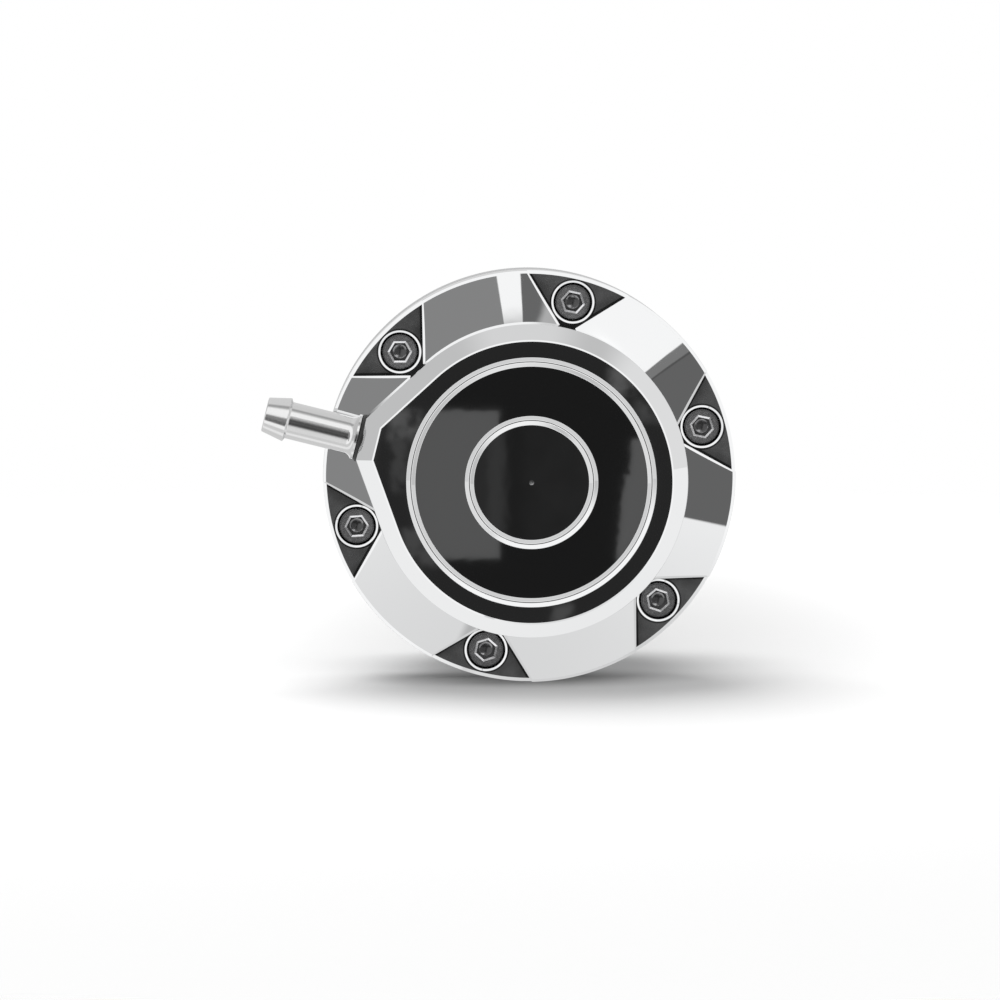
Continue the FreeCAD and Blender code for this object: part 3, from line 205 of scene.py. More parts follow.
class Wire:
    """What a socket carries; arithmetic on it adds Math nodes."""

    def __init__(self, tree, socket):
        self.tree = tree
        self.socket = socket

    def math(self, operation, *others):
        return self.tree.math(operation, self, *others)

    def __add__(self, other):
        return self.tree.math("ADD", self, other)

    def __sub__(self, other):
        return self.tree.math("SUBTRACT", self, other)

    def __rsub__(self, other):
        return self.tree.math("SUBTRACT", other, self)

    def __mul__(self, other):
        return self.tree.math("MULTIPLY", self, other)

    def __truediv__(self, other):
        return self.tree.math("DIVIDE", self, other)

    __radd__ = __add__
    __rmul__ = __mul__

    def hypot(self, other):
        """Distance of a point from the origin, from its two coordinates."""
        return (self * self + other * other).math("SQRT")

    def over(self, edge, soft):
        """0 below an edge and 1 above it, with a soft change between."""
        return self.tree.node("ShaderNodeMapRange", {
            "Value": self, "From Min": edge - soft, "From Max": edge + soft},
            interpolation_type="SMOOTHSTEP")[0]

    def under(self, edge, soft):
        return 1 - self.over(edge, soft)

    def within(self, low, high, soft):
        return self.over(low, soft) * self.under(high, soft)

    def turn_to(self, value, mask):
        """This where the mask is 0 and the value where it is 1."""
        return self + (value - self) * mask


class Tree:
    """A node tree that is written as Python expressions on its wires."""

    def __init__(self, tree):
        self.tree = tree

    def node(self, kind, sockets=None, **settings):
        """Adds a node with its settings, then the values or wires of its sockets."""
        node = self.tree.nodes.new(kind)
        for name, value in settings.items():
            setattr(node, name, value)
        for key, value in (sockets or {}).items():
            if isinstance(value, Wire):
                self.tree.links.new(value.socket, node.inputs[key])
            else:
                node.inputs[key].default_value = value
        return [Wire(self, socket) for socket in node.outputs]

    def math(self, operation, *values):
        return self.node("ShaderNodeMath", dict(enumerate(values)), operation=operation)[0]

    def even(self, value):
        """The same value everywhere."""
        wire = self.node("ShaderNodeValue")[0]
        wire.socket.default_value = value
        return wire

    def place(self):
        """The three coordinates of a point of the piece, in millimetres."""
        spot = self.node("ShaderNodeTexCoord")[3]
        return [wire / MM for wire in self.node("ShaderNodeSeparateXYZ", {0: spot})]

    def grain(self, x, y, z, scale, detail=2.0):
        """Noise from 0 to 1 at a place in millimetres."""
        spot = self.node("ShaderNodeCombineXYZ", {0: x, 1: y, 2: z})[0]
        return self.node("ShaderNodeTexNoise", {"Vector": spot, "Scale": scale,
                                                "Detail": detail})[0]


class Finish(Tree):
    """A surface finish: what is the same all over goes on the shader's own sockets."""

    def __init__(self, name, colour, metallic, roughness, **others):
        self.material = bpy.data.materials.new(name)
        self.material.use_nodes = True
        super().__init__(self.material.node_tree)
        self.shader = self.tree.nodes["Principled BSDF"]
        self.shader.inputs["Base Color"].default_value = (*colour, 1)
        self.shader.inputs["Metallic"].default_value = metallic
        self.shader.inputs["Roughness"].default_value = roughness
        for socket, value in others.items():
            self.shader.inputs[socket.replace("_", " ")].default_value = value

    def rough(self, wire):
        self.tree.links.new(wire.socket, self.shader.inputs["Roughness"])

    def colour(self, wire, tint):
        """The tint at the strength of a wire."""
        shade = self.node("ShaderNodeMix", {0: 1.0, 6: (*tint, 1), 7: wire},
                          data_type="RGBA", blend_type="MULTIPLY")[2]
        self.tree.links.new(shade.socket, self.shader.inputs["Base Color"])

    def relief(self, height, micrometres):
        normal = self.node("ShaderNodeBump", {
            "Strength": 1.0, "Distance": micrometres * 1e-6, "Height": height})[0]
        self.tree.links.new(normal.socket, self.shader.inputs["Normal"])

    def turning_marks(self, scale, micrometres, centre=(0, 0, 0), axis=(0, 1, 0)):
        """Fine rings left by the lathe round an axis, with a little unevenness of the shine."""
        x, y, z = [wire - offset for wire, offset in zip(self.place(), centre)]
        along = x * axis[0] + y * axis[1] + z * axis[2]
        radius = (x * x + y * y + z * z - along * along).math("MAXIMUM", 0.0).math("SQRT")
        self.relief(self.grain(along, radius, 0.0, scale, 1.0), micrometres)
        base = self.shader.inputs["Roughness"].default_value
        self.rough(base * 0.8 + self.grain(x, y, z, 0.4) * (base * 0.4))


def wear(finish, scale, spread, micrometres):
    """Uneven shine and a fine grain, as on plated, cast or moulded surfaces."""
    x, y, z = finish.place()
    base = finish.shader.inputs["Roughness"].default_value
    finish.rough((base - spread) + finish.grain(x, y, z, 0.7, 3.0) * (2 * spread))
    finish.relief(finish.grain(x, y, z, scale, 3.0), micrometres)


PORT_ANGLE = math.radians(166)
PORT = Vector((math.cos(PORT_ANGLE), 0, math.sin(PORT_ANGLE)))
SCREW_CIRCLE = 33.2
SCREW_STEP = math.radians(60)
SCREW_ANGLES = [PORT_ANGLE + SCREW_STEP * (k + 0.5) for k in range(6)]
RIM = 38.1
EDGE = 0.3
SOFT = 0.08
CYLINDER = 26.5
OPEN_END = -44.0
FLANGE_BACK = -36.0
FLOOR_INSIDE = -11.0
FOOT = 24.5
NECK = 9.5
WIPER_BORE = 8.0
CLIP_GROOVE = 8.4
BUSH_BORE = 6.02
SCREW_THREAD = 2.04

satin = Finish("satin_aluminium", (0.66, 0.665, 0.67), 1.0, 0.3)
satin.turning_marks(2.2, 4.0)


def on_circle(radius, angle):
    return Matrix.Translation((radius * math.cos(angle), 0, radius * math.sin(angle)))


def sideways(height, direction):
    """Takes the Y axis of a turned piece to a radial direction at a height along the part."""
    side = Vector((0, 1, 0)).cross(direction).normalized()
    return Matrix.Translation((0, height, 0)) @ Matrix((
        (side[0], direction[0], 0, 0),
        (side[1], direction[1], 1, 0),
        (side[2], direction[2], 0, 0),
        (0, 0, 0, 1)))


def tapped_hole(radius, depth, pitch, start, finish, place, mouth):
    """Cutter for a tapped hole along Y: ridges of a thread and a bevelled mouth at the finish."""
    outline = [(0, start - radius * 0.6), (radius, start)]
    for k in range(int((finish - start - 0.5) / pitch)):
        at = start + 0.3 + k * pitch
        outline += [(radius, at + 0.1 * pitch), (radius + depth, at + 0.5 * pitch),
                    (radius, at + 0.9 * pitch)]
    outline += [(radius, finish - mouth), (radius + mouth, finish), (radius + mouth, finish + 1),
                (0, finish + 1)]
    return lathe("tap", turned(outline), 64, place)


canister = lathe("canister_satin", turned([
    (CYLINDER, OPEN_END, 0.8), (RIM - EDGE, OPEN_END, SOFT), (RIM, OPEN_END + EDGE, SOFT),
    (RIM, FLANGE_BACK - EDGE, SOFT), (RIM - EDGE, FLANGE_BACK, SOFT), (29.5, FLANGE_BACK, 1.2),
    (29.5, -6.5, 0.3), (27, -4, 0.3), (FOOT, -4, 1.5), (FOOT, -EDGE, SOFT),
    (FOOT - EDGE, 0, SOFT), (WIPER_BORE + EDGE, 0, 0.05), (WIPER_BORE, -EDGE, 0.05),
    (WIPER_BORE, -1.88), (CLIP_GROOVE, -1.88), (CLIP_GROOVE, -3), (WIPER_BORE, -3),
    (WIPER_BORE, -6), (BUSH_BORE, -6), (BUSH_BORE, -15), (NECK, -15, 0.2),
    (NECK, FLOOR_INSIDE, 0.3), (CYLINDER, FLOOR_INSIDE, 1.5)]))
carve(canister, [
    tapped_hole(radius=2.5, depth=0.45, pitch=1.0, start=-9.0, finish=0, mouth=0.5,
                place=on_circle(17, PORT_ANGLE + math.pi / 2 * k))
    for k in range(4)])
carve(canister, [
    lathe("screw_hole", turned([
        (0, OPEN_END - 2), (SCREW_THREAD, OPEN_END - 2), (SCREW_THREAD, FLANGE_BACK - EDGE),
        (SCREW_THREAD + EDGE, FLANGE_BACK), (SCREW_THREAD + EDGE, FLANGE_BACK + 1),
        (0, FLANGE_BACK + 1)]), 64, on_circle(SCREW_CIRCLE, angle))
    for angle in SCREW_ANGLES])
carve(canister, [lathe("breather", turned([
    (0, 20), (1.25, 20), (1.25, 29.1), (1.75, 29.6), (1.75, 32), (0, 32)]), 64,
    sideways(-20, -PORT))])
set_normals(canister)
fit(canister, "housing", "canister", satin.material)


# Guide bush, wiper and circlip. A sintered bronze bush pressed into the neck, a rubber lip that
# keeps dirt off it and the spring-steel ring that holds the lip in its bore.
bronze = Finish("bronze", (0.62, 0.42, 0.2), 1.0, 0.36)
wear(bronze, 6.0, 0.06, 8.0)
rubber = Finish("seal_rubber", (0.02, 0.02, 0.02), 0.0, 0.5)
wear(rubber, 9.0, 0.1, 6.0)
spring_steel = Finish("spring_steel", (0.2, 0.195, 0.19), 1.0, 0.36)
wear(spring_steel, 4.0, 0.08, 5.0)


def dress(finish, *names):
    """Gives nodes of the part their surface finish."""
    for name in names:
        NODES[name].data.materials.clear()
        NODES[name].data.materials.append(finish.material)


dress(bronze, "guide_bush")
dress(rubber, "rod_wiper")
dress(spring_steel, "bush_circlip")


# Springs. Two nested springs of oiled round wire with ground ends, standing on a hard zinc-plated
# ring. They shorten between that ring and the piston as the rod moves out.
zinc = Finish("zinc_steel", (0.62, 0.63, 0.65), 1.0, 0.28)
wear(zinc, 3.0, 0.07, 3.0)
dress(zinc, "spring_seat")

SPRING_SEAT = -12.02
PISTON_UNDERSIDE = -49.28
GROUND_OFF = 0.3


def grow(name, base, inputs, build):
    """A piece from a Geometry Nodes tree with named inputs, turned into a plain mesh."""
    group = bpy.data.node_groups.new(name, "GeometryNodeTree")
    group.interface.new_socket("Geometry", in_out="INPUT", socket_type="NodeSocketGeometry")
    sockets = [group.interface.new_socket(label, in_out="INPUT", socket_type=kind)
               for label, kind, _ in inputs]
    group.interface.new_socket("Geometry", in_out="OUTPUT", socket_type="NodeSocketGeometry")
    tree = Tree(group)
    tree.node("NodeGroupOutput", {0: build(tree, *tree.node("NodeGroupInput")[:-1])})
    thing = bpy.data.objects.new(name, base)
    bpy.context.scene.collection.objects.link(thing)
    change = thing.modifiers.new("grow", "NODES")
    change.node_group = group
    for socket, (_, _, value) in zip(sockets, inputs):
        change[socket.identifier] = value
    graph = bpy.context.evaluated_depsgraph_get()
    mesh = bpy.data.meshes.new_from_object(thing.evaluated_get(graph))
    thing.modifiers.clear()
    thing.data = mesh
    return thing


def wind(tree, _, radius, wire, turns, start, finish, steel):
    """Round wire wound evenly between two heights and ground flat where it would pass them."""
    rise = (finish - start) - wire * (2 * GROUND_OFF)
    coil = tree.node("GeometryNodeCurveSpiral", {
        "Resolution": 40, "Rotations": turns, "Start Radius": radius, "End Radius": radius,
        "Height": rise})[0]
    corner = tree.node("ShaderNodeCombineXYZ", {1: start + wire * GROUND_OFF})[0]
    coil = tree.node("GeometryNodeTransform", {
        "Geometry": coil, "Translation": corner, "Rotation": (-math.pi / 2, 0, 0)})[0]
    section = tree.node("GeometryNodeCurvePrimitiveCircle", {"Resolution": 16,
                                                             "Radius": wire / 2})[0]
    body = tree.node("GeometryNodeCurveToMesh", {"Curve": coil, "Profile Curve": section,
                                                 "Fill Caps": True})[0]
    x, y, z = tree.node("ShaderNodeSeparateXYZ", {0: tree.node("GeometryNodeInputPosition")[0]})
    ground = tree.node("ShaderNodeCombineXYZ", {
        0: x, 1: y.math("MAXIMUM", start).math("MINIMUM", finish), 2: z})[0]
    body = tree.node("GeometryNodeSetPosition", {"Geometry": body, "Position": ground})[0]
    body = tree.node("GeometryNodeRealizeInstances", {"Geometry": body})[0]
    return tree.node("GeometryNodeSetMaterial", {"Geometry": body, "Material": steel})[0]


for name, node, wire, radius, turns in (
        ("main_spring_wound", "main_spring", 3.0, 18.5, 5.5),
        ("inner_spring_wound", "inner_spring", 2.2, 11.84, 7.5)):
    spring = grow(name, bpy.data.meshes.new(name), [
        ("Coil radius", "NodeSocketFloat", radius * MM),
        ("Wire", "NodeSocketFloat", wire * MM),
        ("Turns", "NodeSocketFloat", turns),
        ("Start", "NodeSocketFloat", PISTON_UNDERSIDE * MM),
        ("Finish", "NodeSocketFloat", SPRING_SEAT * MM),
        ("Steel", "NodeSocketMaterial", spring_steel.material)], wind)
    spring.data.polygons.foreach_set("use_smooth", np.ones(len(spring.data.polygons), bool))
    spring.data.set_sharp_from_angle(angle=math.radians(40))
    fit(spring, "housing", node, spring_steel.material)
    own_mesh(spring)


# Push rod. Ground steel bar with a rolled thread at each end, a shoulder under the piston and
# two flats for a spanner.
rod_steel = Finish("rod_steel", (0.68, 0.68, 0.67), 1.0, 0.17)
rod_steel.turning_marks(3.0, 1.5)

GROUND = 4.0
STUD = 3.0
THREAD_DEPTH = 0.5
PITCH = 1.0
ROD_SHOULDER = 42.0
ROD_TIP = 70.0


def thread(radius, depth, pitch, start, finish):
    """Outline corners of a thread between two heights."""
    corners = []
    for k in range(int((finish - start) / pitch)):
        at = start + k * pitch
        corners += [(radius - depth, at + 0.06 * pitch), (radius, at + 0.44 * pitch),
                    (radius, at + 0.56 * pitch), (radius - depth, at + 0.94 * pitch)]
    return corners


def flat_solid(name, points, faces):
    """A convex solid with flat faces; the order of each face's corners doesn't matter."""
    spots = [Vector(point) for point in points]
    centre = sum(spots, Vector()) / len(spots)
    sorted_faces, normals = [], []
    for face in faces:
        normal = (spots[face[1]] - spots[face[0]]).cross(spots[face[2]] - spots[face[0]])
        if normal.dot(spots[face[0]] - centre) < 0:
            face = tuple(reversed(face))
            normal.negate()
        sorted_faces.append(tuple(face))
        normals += [tuple(normal.normalized())] * len(face)
    return new_object(name, points, sorted_faces, normals)


def prism(name, corners, start, finish, place=None):
    """A convex prism from (x, z) corners between two heights along Y."""
    place = place or Matrix.Identity(4)
    count = len(corners)
    points = [tuple(place @ Vector((x, y, z))) for y in (start, finish) for x, z in corners]
    faces = [tuple(range(count)), tuple(range(count, 2 * count))]
    faces += [(i, (i + 1) % count, count + (i + 1) % count, count + i) for i in range(count)]
    return flat_solid(name, points, faces)


rod = lathe("push_rod_ground", turned(
    [(0, -62.3), (STUD - THREAD_DEPTH, -62.3), (STUD, -61.8)]
    + thread(STUD, THREAD_DEPTH, PITCH, -61.6, -52.6)
    + [(STUD, -52.0), (STUD, -48.1), (GROUND - EDGE, -48.1), (GROUND, -47.8),
       (GROUND, ROD_SHOULDER - 0.4, 0.1), (GROUND - 0.4, ROD_SHOULDER, 0.05),
       (2.6, ROD_SHOULDER), (2.6, ROD_SHOULDER + 1.2)]
    + thread(STUD, THREAD_DEPTH, PITCH, ROD_SHOULDER + 1.3, ROD_TIP - 0.7)
    + [(STUD - THREAD_DEPTH, ROD_TIP - 0.4), (2.2, ROD_TIP), (0, ROD_TIP)]), 96)
carve(rod, [
    prism("spanner_flat", [(flat, -6), (2 * flat, -6), (2 * flat, 6), (flat, 6)], 34.5, 40.5)
    for flat in (3.5, -3.5)])
set_normals(rod)
fit(rod, "push_rod", "rod", rod_steel.material)


# Piston. A turned cup and the plate over the diaphragm, with the rubber ring, the washers and the
# self-locking nut that clamp them on the rod's stud.
machined = Finish("machined_aluminium", (0.75, 0.75, 0.76), 1.0, 0.24)
machined.turning_marks(1.5, 5.0)
dress(machined, "piston", "retainer_plate")
dress(rubber, "stud_seal")
dress(zinc, "plate_washer", "backing_washer", "piston_nut")


# Diaphragm. A rubberised fabric sheet clamped between cap and canister. Its loop rolls half as far
# as the piston moves.
woven = Finish("diaphragm_rubber", (0.025, 0.024, 0.024), 0.0, 0.6)
wear(woven, 5.0, 0.1, 12.0)
LOOP, CLAMPED, HEAD, LOOP_MIDDLE = -40.4, -44.4, -52.2, 24.8

diaphragm = bpy.data.objects.new("diaphragm_sheet", NODES["diaphragm"].data.copy())
diaphragm.data.name = "diaphragm_sheet"
diaphragm.data.materials.clear()
diaphragm.data.materials.append(woven.material)
bpy.context.scene.collection.objects.link(diaphragm)
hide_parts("diaphragm")
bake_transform(diaphragm)


# Cap. Turned from aluminium and mirror-polished: a flange that slopes down from a teardrop boss
# to its rim, six open V pockets, ring grooves, a dished centre and the seat of the hose port.
CAP_SEAT = -44.8
RIM_BEVEL = 0.55
FLOOR_BEVEL = 0.65
EASED = math.tan(math.radians(27))
RIM_TOP = -52.8
POCKET_FLOOR = -51.8
BOSS = 28.7
CONE_RISE = 2.0
BOSS_TOP = -66.8
BEVEL = 2.9
FACET = 31.9
FACET_HALF = 3.9
APEX = 27.2
SLOPE = CONE_RISE / (RIM - BOSS)
PORT_HEIGHT = -59.8
COUNTERBORE = 3.58
COUNTERBORE_MOUTH = 3.98
BROKEN_EDGE = 0.22
MIRROR = (0.91, 0.915, 0.92)
CRISP = 0.02


def from_pocket(x, z):
    """Distances from the axis, the nearest pocket's wall and the nearest screw's middle."""
    radius = x.hypot(z)
    turn = z.math("ARCTAN2", x) - SCREW_ANGLES[0]
    fold = turn.math("PINGPONG", SCREW_STEP / 2)
    ahead = radius * fold.math("COSINE")
    across = radius * fold.math("SINE")
    from_wall = (ahead - APEX - across) * math.sqrt(0.5)
    return radius, from_wall, (ahead - SCREW_CIRCLE).hypot(across)


def polish():
    """Mirror polish on the turned faces; duller milled pocket floors, with painted shade darkening
    their corners by the walls, round the counterbore mouths and at the foot of the boss.
    """
    finish = Finish("polished_aluminium", MIRROR, 1.0, 0.015)
    x, y, z = finish.place()
    radius, from_wall, from_screw = from_pocket(x, z)
    milled = y.over(POCKET_FLOOR - 0.05, CRISP)
    milled = milled * from_screw.over(COUNTERBORE_MOUTH - CRISP, CRISP)
    milled = milled * radius.under(RIM - FLOOR_BEVEL + CRISP, CRISP)
    # Painted shade: the milled floors darken by the pocket walls, round the counterbore mouths and
    # at the foot of the boss.
    corner = from_wall.under(0.4, 0.15) + from_wall.under(1.2, 1.2) * 0.4
    corner = corner + (from_screw - COUNTERBORE_MOUTH).within(-0.05, 0.3, 0.08) * 0.8
    corner = corner + (radius - BOSS).under(0.35, 0.15)
    patina = finish.grain(x, y, z, 0.35, 3.0)
    painted_shading = 1 - corner.math("MINIMUM", 1.0) * 0.85
    milled_colour = painted_shading * (0.45 + patina * 0.5)
    finish.colour(1 - (1 - milled_colour) * milled, MIRROR)
    finish.rough(0.015 + milled * (0.1 + patina * 0.1))
    finish.relief(finish.grain(x, y, z, 0.3, 1.0), 0.5)
    return finish.material


def teardrop(inset):
    """Corners (x, z, normal before, normal after) of the boss outline, moved in by an inset."""
    corner = math.hypot(FACET, FACET_HALF)
    touch = math.atan2(FACET_HALF, FACET) + math.acos(BOSS / corner)
    radius = BOSS - inset
    far = FACET - inset
    half = (radius - far * math.cos(touch)) / math.sin(touch)
    flank = (math.cos(touch), math.sin(touch))
    low_flank = (flank[0], -flank[1])
    spots = [(far, -half, low_flank, (1, 0)), (far, half, (1, 0), flank)]
    parts = 300
    for k in range(parts + 1):
        angle = touch + (2 * math.pi - 2 * touch) * k / parts
        out = (math.cos(angle), math.sin(angle))
        before = flank if k == 0 else out
        after = low_flank if k == parts else out
        spots.append((radius * out[0], radius * out[1], before, after))
    return spots


def about(angle):
    """Turns a tool drawn on +X to an angle counted from +X towards +Z."""
    return Matrix.Rotation(-angle, 4, "Y")


def boss():
    """Boss with upright walls and a mitred bevel round its flat top, their edges just broken."""
    turn = about(PORT_ANGLE)
    edge = 0.35
    back = edge * math.tan(math.radians(22.5))
    levels = [(0.0, POCKET_FLOOR + 1, 0)]
    for tilt in range(0, 46, 9):
        angle = math.radians(tilt)
        levels.append((edge - edge * math.cos(angle),
                       BOSS_TOP + BEVEL + back - edge * math.sin(angle), tilt))
    tilts = [(a[2], b[2]) for a, b in zip(levels, levels[1:])] + [(45, 45), (63, 63)]
    narrow = 0.3
    levels.append((BEVEL - narrow * EASED, BOSS_TOP + narrow * EASED, 45))
    levels.append((BEVEL - narrow * EASED + narrow, BOSS_TOP, 63))
    outlines = [teardrop(inset) for inset, _, _ in levels]
    count = len(outlines[0])
    points = [tuple(turn @ Vector((x, y, z))) for spots, (_, y, _) in zip(outlines, levels)
              for x, z, _, _ in spots]
    faces, normals = [tuple(range(count))], [(0, 1, 0)] * count
    for level in range(len(levels) - 1):
        a, b = level * count, (level + 1) * count
        below, above = [math.radians(tilt) for tilt in tilts[level]]
        for i in range(count):
            j = (i + 1) % count
            faces.append((b + i, b + j, a + j, a + i))
            starts, ends = outlines[0][i][3], outlines[0][j][2]
            for side, tilt in ((starts, above), (ends, above), (ends, below), (starts, below)):
                normals.append(tuple(turn @ Vector((
                    side[0] * math.cos(tilt), -math.sin(tilt), side[1] * math.cos(tilt)))))
    last = (len(levels) - 1) * count
    faces.append(tuple(reversed(range(last, last + count))))
    normals += [(0, -1, 0)] * count
    return new_object("boss", points, faces, normals)


def edge_break(place, side, width):
    """Tool that breaks the edge between a pocket wall and the sloping flange."""
    ends = []
    for radius in (APEX, RIM):
        reach = (-APEX + math.sqrt(2 * radius ** 2 - APEX ** 2)) / 2
        ends.append(Vector((APEX + reach, RIM_TOP - SLOPE * (RIM - radius), side * reach)))
    along = (ends[1] - ends[0]).normalized()
    wall = Vector((1, 0, -side)).normalized()
    outward = along.cross(wall)
    if outward.y > 0:
        outward.negate()
    fall = (wall * width - outward * width * EASED) * 2
    points = []
    for end in (ends[0] - along, ends[1] + along):
        start = end - wall * width
        points.append(place @ (start - fall))
        points.append(place @ (start + fall))
        points.append(place @ (start + fall + outward * 3))
    faces = [(0, 1, 2), (3, 4, 5), (0, 1, 4, 3), (1, 2, 5, 4), (2, 0, 3, 5)]
    return flat_solid("edge_break", [tuple(point) for point in points], faces)


def bowl_tool(level, rim, hollow, rings, steps):
    """Cutter for a shallow bowl under a flat face."""
    curve = (rim * rim + hollow * hollow) / (2 * hollow)
    top = level + hollow - curve
    bowl = []
    for k in range(rings + 1):
        angle = math.asin(rim / curve) * (1 - k / rings)
        bowl.append((curve * math.sin(angle), top + curve * math.cos(angle),
                     math.sin(angle), math.cos(angle)))
    lid = level - 1
    return lathe("bowl", [bowl, [(0, lid, 0, -1), (rim, lid, 0, -1)],
                          [(rim, lid, 1, 0), (*bowl[0][:2], 1, 0)]], steps)


def make_cap():
    cap = lathe("cap_polished", turned([
        (0, CAP_SEAT), (RIM - EDGE, CAP_SEAT, SOFT), (RIM, CAP_SEAT - EDGE, SOFT),
        (RIM, RIM_TOP + RIM_BEVEL * (EASED - SLOPE), 0.1),
        (RIM - RIM_BEVEL, RIM_TOP - RIM_BEVEL * SLOPE, 0.05),
        (BOSS - 2, RIM_TOP - CONE_RISE - 2 * SLOPE), (0, RIM_TOP - CONE_RISE - 2 * SLOPE)]))
    out = RIM + 4 - APEX
    corners = [(APEX, 0), (APEX + out, out), (APEX + out, -out)]
    carve(cap, [prism("pocket", corners, POCKET_FLOOR, RIM_TOP - 6, about(angle))
                for angle in SCREW_ANGLES])
    for angle in SCREW_ANGLES:
        edge = lathe("floor_bevel", turned([
            (RIM - FLOOR_BEVEL, POCKET_FLOOR), (RIM + 1, POCKET_FLOOR + (FLOOR_BEVEL + 1) * EASED),
            (RIM + 1, POCKET_FLOOR - 1), (RIM - FLOOR_BEVEL, POCKET_FLOOR - 1)]))
        inside = [(x - 0.02, z) for x, z in corners]
        carve(edge, [prism("pocket", inside, POCKET_FLOOR - 2, POCKET_FLOOR + 2, about(angle))],
              "INTERSECT")
        carve(cap, [edge])
    carve(cap, [edge_break(about(angle), side, BROKEN_EDGE)
                for angle in SCREW_ANGLES for side in (1, -1)])
    carve(cap, [boss()], "UNION")

    inner_groove, outer_groove, groove, depth, lip = 11.3, 21.95, 0.81, 0.5, 0.3
    tools = [lathe("groove", turned([
        (radius - groove - lip, BOSS_TOP - 0.6), (radius - groove - lip, BOSS_TOP - 1e-3),
        (radius - groove, BOSS_TOP, 0.2), (radius, BOSS_TOP + depth, 0.35),
        (radius + groove, BOSS_TOP, 0.2), (radius + groove + lip, BOSS_TOP - 1e-3),
        (radius + groove + lip, BOSS_TOP - 0.6)])) for radius in (outer_groove, inner_groove)]
    hollow, mark = 0.05, 0.42
    tools.append(bowl_tool(BOSS_TOP, inner_groove - groove - 0.03, hollow, 30, 360))
    tools.append(lathe("centre_mark", turned([
        (0, BOSS_TOP - 1), (mark, BOSS_TOP - 1), (mark, BOSS_TOP + hollow),
        (0, BOSS_TOP + hollow + mark)]), 48))
    chamber, stop, recess, roof = 25.0, -54.9, 15.0, -63.3
    tools.append(lathe("chamber", turned([
        (0, CAP_SEAT + 1), (chamber + EDGE, CAP_SEAT + 1), (chamber + EDGE, CAP_SEAT),
        (chamber, CAP_SEAT - EDGE), (chamber, stop), (recess, stop), (recess, roof),
        (0, roof)]), 240))
    carve(cap, tools)

    port = sideways(PORT_HEIGHT, PORT)
    seal_seat, passage, port_thread, thread_end = 4.9, 1.75, 3.04, 21.4
    tools = [
        lathe("spotface", turned([(0, FACET - 0.6), (seal_seat, FACET - 0.6, 0.1),
                                  (seal_seat, 40), (0, 40)]), 128, port),
        lathe("port_bore", turned([
            (0, 14), (passage, 14), (passage, thread_end), (port_thread, thread_end),
            (port_thread, 35), (0, 35)]), 96, port)]
    bore_floor, screw_gap = -47.7, 2.25
    for angle in SCREW_ANGLES:
        spot = on_circle(SCREW_CIRCLE, angle)
        tools.append(lathe("counterbore", turned([
            (0, bore_floor), (COUNTERBORE, bore_floor),
            (COUNTERBORE, POCKET_FLOOR + (COUNTERBORE_MOUTH - COUNTERBORE) * EASED, 0.05),
            (COUNTERBORE_MOUTH, POCKET_FLOOR), (COUNTERBORE_MOUTH, POCKET_FLOOR - 1),
            (0, POCKET_FLOOR - 1)]), 96, spot))
        tools.append(lathe("clearance", turned([
            (0, CAP_SEAT + 1), (screw_gap, CAP_SEAT + 1), (screw_gap, -50), (0, -50)]), 64, spot))
    carve(cap, tools)
    set_normals(cap)
    fit(cap, "housing", "cap", polish())


make_cap()


# Cap screws. Six M4 socket cap screws of dark steel, with a drilled and broached hexagon. They
# clamp cap and diaphragm on the canister, each stopped at its own angle when it was tight.
HEAD = 3.5
HEAD_TOP = POCKET_FLOOR + 0.1
HEAD_HEIGHT = 4.0
HEAD_FLAT = 3.05
SHANK = 2.0
SHANK_LENGTH = 10.0
HEX = 3.25
SOCKET_DEPTH = 2.0
SOCKET_MOUTH = 0.42
SOCKET_ANGLES = [4.0, 18.0, 41.0, 48.0, 48.0, 0.0]
DARK_STEEL = (0.6, 0.6, 0.61)


def screw_steel():
    """Dark steel, duller on the rounded edge of the head and down in the socket, where painted
    shade darkens it, with a painted highlight on the socket's eased mouth.
    """
    finish = Finish("screw_steel", DARK_STEEL, 1.0, 0.2)
    x, y, z = finish.place()
    edge = from_pocket(x, z)[2].over(HEAD_FLAT - 0.08, 0.03)
    patina = finish.grain(x, y, z, 2.0, 3.0)
    # Painted shade darkens the rounded edge of the head and the depth of the socket; a painted
    # highlight brightens the socket's eased mouth.
    painted_shading = (1 - edge * 0.8) * (1 - y.over(HEAD_TOP + 1.0, 0.3) * 0.45)
    mouth = y.within(HEAD_TOP + 0.015, HEAD_TOP + 0.25, 0.01)
    painted_shading = painted_shading + mouth * (0.55 - edge * 0.55)
    finish.colour(painted_shading * (0.75 + patina * 0.5), DARK_STEEL)
    finish.rough(0.08 + patina * 0.1 + y.under(HEAD_TOP + 0.012, 0.01) * 0.14)
    finish.relief(finish.grain(x, y, z, 7.0, 2.0), 1.5)
    return finish.material


